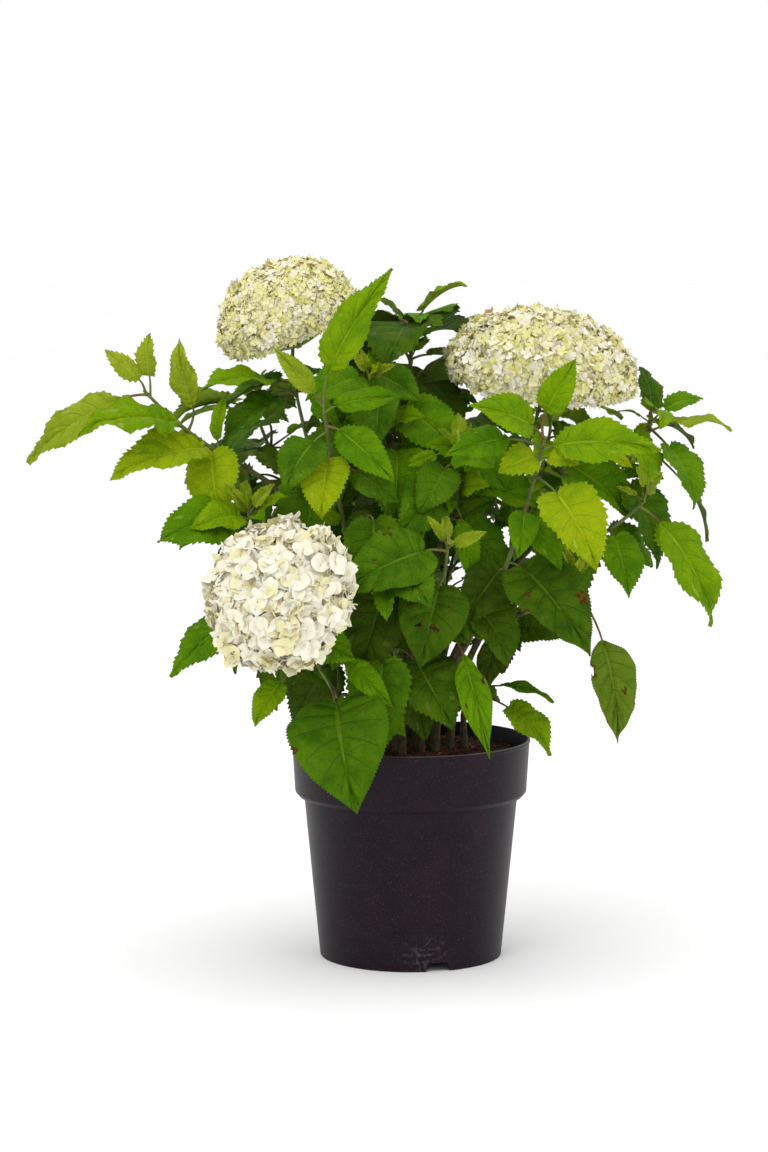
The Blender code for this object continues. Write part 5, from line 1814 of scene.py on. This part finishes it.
def shred_skin(draw, kind, edge):
    """A bowed, tapering shred of bark, somewhere on the mound."""
    reach = (edge - SHRED_INSET) * math.sqrt(draw.random())
    angle = draw.uniform(0, FULL_TURN)
    x, y = reach * math.cos(angle), reach * math.sin(angle)
    centre = Vector((x, y, soil_height(x, y) + draw.uniform(0.0, SHRED_RISE)))
    way = direction(draw.uniform(0, 360), draw.uniform(-SHRED_PITCH, SHRED_PITCH))
    side = way.cross(UP).normalized()
    up = side.cross(way)
    length = draw.uniform(*kind.length)
    wide = draw.uniform(*kind.width)
    thick = draw.uniform(*kind.thickness) if kind.thickness else wide * STRAND_THICKNESS
    bow = draw.uniform(-SHRED_BOW, SHRED_BOW)
    points = []
    for station in range(kind.stations + 1):
        share = station / kind.stations
        narrow = 1.0 - kind.taper * abs(2 * share - 1) ** 2
        middle = centre + way * (share - 0.5) * length + side * bow * math.sin(math.pi * share)
        middle = middle + up * draw.uniform(-SHRED_UNEVEN, SHRED_UNEVEN)
        for out, rise in ((1, -1), (1, 1), (-1, 1), (-1, -1)):
            corner = middle + side * out * wide * narrow / 2 + up * rise * thick / 2
            points.append(tuple(corner))
    far_end = tuple(4 * kind.stations + corner for corner in range(4))
    return points, bands(4, kind.stations) + [(3, 2, 1, 0), far_end]


soil = Pile()
edge = wall_radius(SOIL_EDGE_LEVEL) - POT_WALL - SOIL_LIFT
soil.add(*soil_skin(edge), "bark_dark")
draw = random.Random("bark")
for number in range(SHREDS):
    kind = CHIP if number % 5 == 0 else STRAND
    points, faces = shred_skin(draw, kind, edge)
    if max(math.hypot(point[0], point[1]) for point in points) < edge - SHRED_CLEAR:
        soil.add(points, faces, draw.choice(kind.looks))
made = soil.make("bark_surface", smooth=False)
pieces.append(made)
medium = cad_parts["growing_medium"]
medium.data.materials.clear()
medium.data.materials.append(looks["bark_dark"])


# The stage, the light and the camera. Each light: its place, its target's height, its size and its
# power in watts.


FLOOR_HALF = 30.0
LIGHTS = {
    "key": ((-1.0, -2.4, 2.6), 0.4, 1.6, 24),
    "fill": ((2.2, -2.2, 1.2), 0.4, 1.6, 4),
    "top": ((0.2, 0.4, 2.8), 0.5, 1.8, 12),
}
CAMERA_PLACE = (-0.028, -3.6, 0.79)
CAMERA_PITCH = 6.2
CAMERA_LENS = 108.75
CAMERA_SENSOR = 36.0

floor_mesh = bpy.data.meshes.new("floor")
floor_corners = [(FLOOR_HALF * x, FLOOR_HALF * y, 0.0) for x, y in ((-1, -1), (1, -1), (1, 1), (-1, 1))]
floor_mesh.from_pydata(floor_corners, [], [(0, 1, 2, 3)])
floor_mesh.materials.append(looks["floor"])
floor = bpy.data.objects.new("floor", floor_mesh)
bpy.context.scene.collection.objects.link(floor)
floor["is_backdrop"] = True

for name, (place, target, size, power) in LIGHTS.items():
    light = bpy.data.lights.new(name, "AREA")
    light.shape = "SQUARE"
    light.size = size
    light.energy = power
    lamp = bpy.data.objects.new(name, light)
    lamp.location = place
    aim = Vector((0.0, 0.0, target)) - Vector(place)
    lamp.rotation_euler = aim.to_track_quat("-Z", "Y").to_euler()
    bpy.context.scene.collection.objects.link(lamp)
world = bpy.data.worlds.new("studio")
world.use_nodes = True
world.node_tree.nodes["Background"].inputs["Color"].default_value = (1.0, 1.0, 1.0, 1.0)
world.node_tree.nodes["Background"].inputs["Strength"].default_value = 1.0
bpy.context.scene.world = world
bpy.context.scene.view_settings.view_transform = "Standard"

camera = bpy.data.cameras.new("camera")
camera.sensor_fit = "VERTICAL"
camera.sensor_height = CAMERA_SENSOR
camera.lens = CAMERA_LENS
camera_object = bpy.data.objects.new("camera", camera)
camera_object.location = CAMERA_PLACE
camera_object.rotation_euler = (math.radians(90 - CAMERA_PITCH), 0.0, 0.0)
bpy.context.scene.collection.objects.link(camera_object)
bpy.context.scene.camera = camera_object

triangles = sum(sum(len(face.vertices) - 2 for face in piece.data.polygons) for piece in pieces)
leaf_count = sum(len(leaves) for leaves in grown.values())
print("pieces", len(pieces), "triangles", triangles, "leaves", leaf_count)
visual_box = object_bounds()
boxes = {"cad": cad_box, "visual": visual_box}
{name: [[float(value) for value in corner] for corner in box] for name, box in boxes.items()}
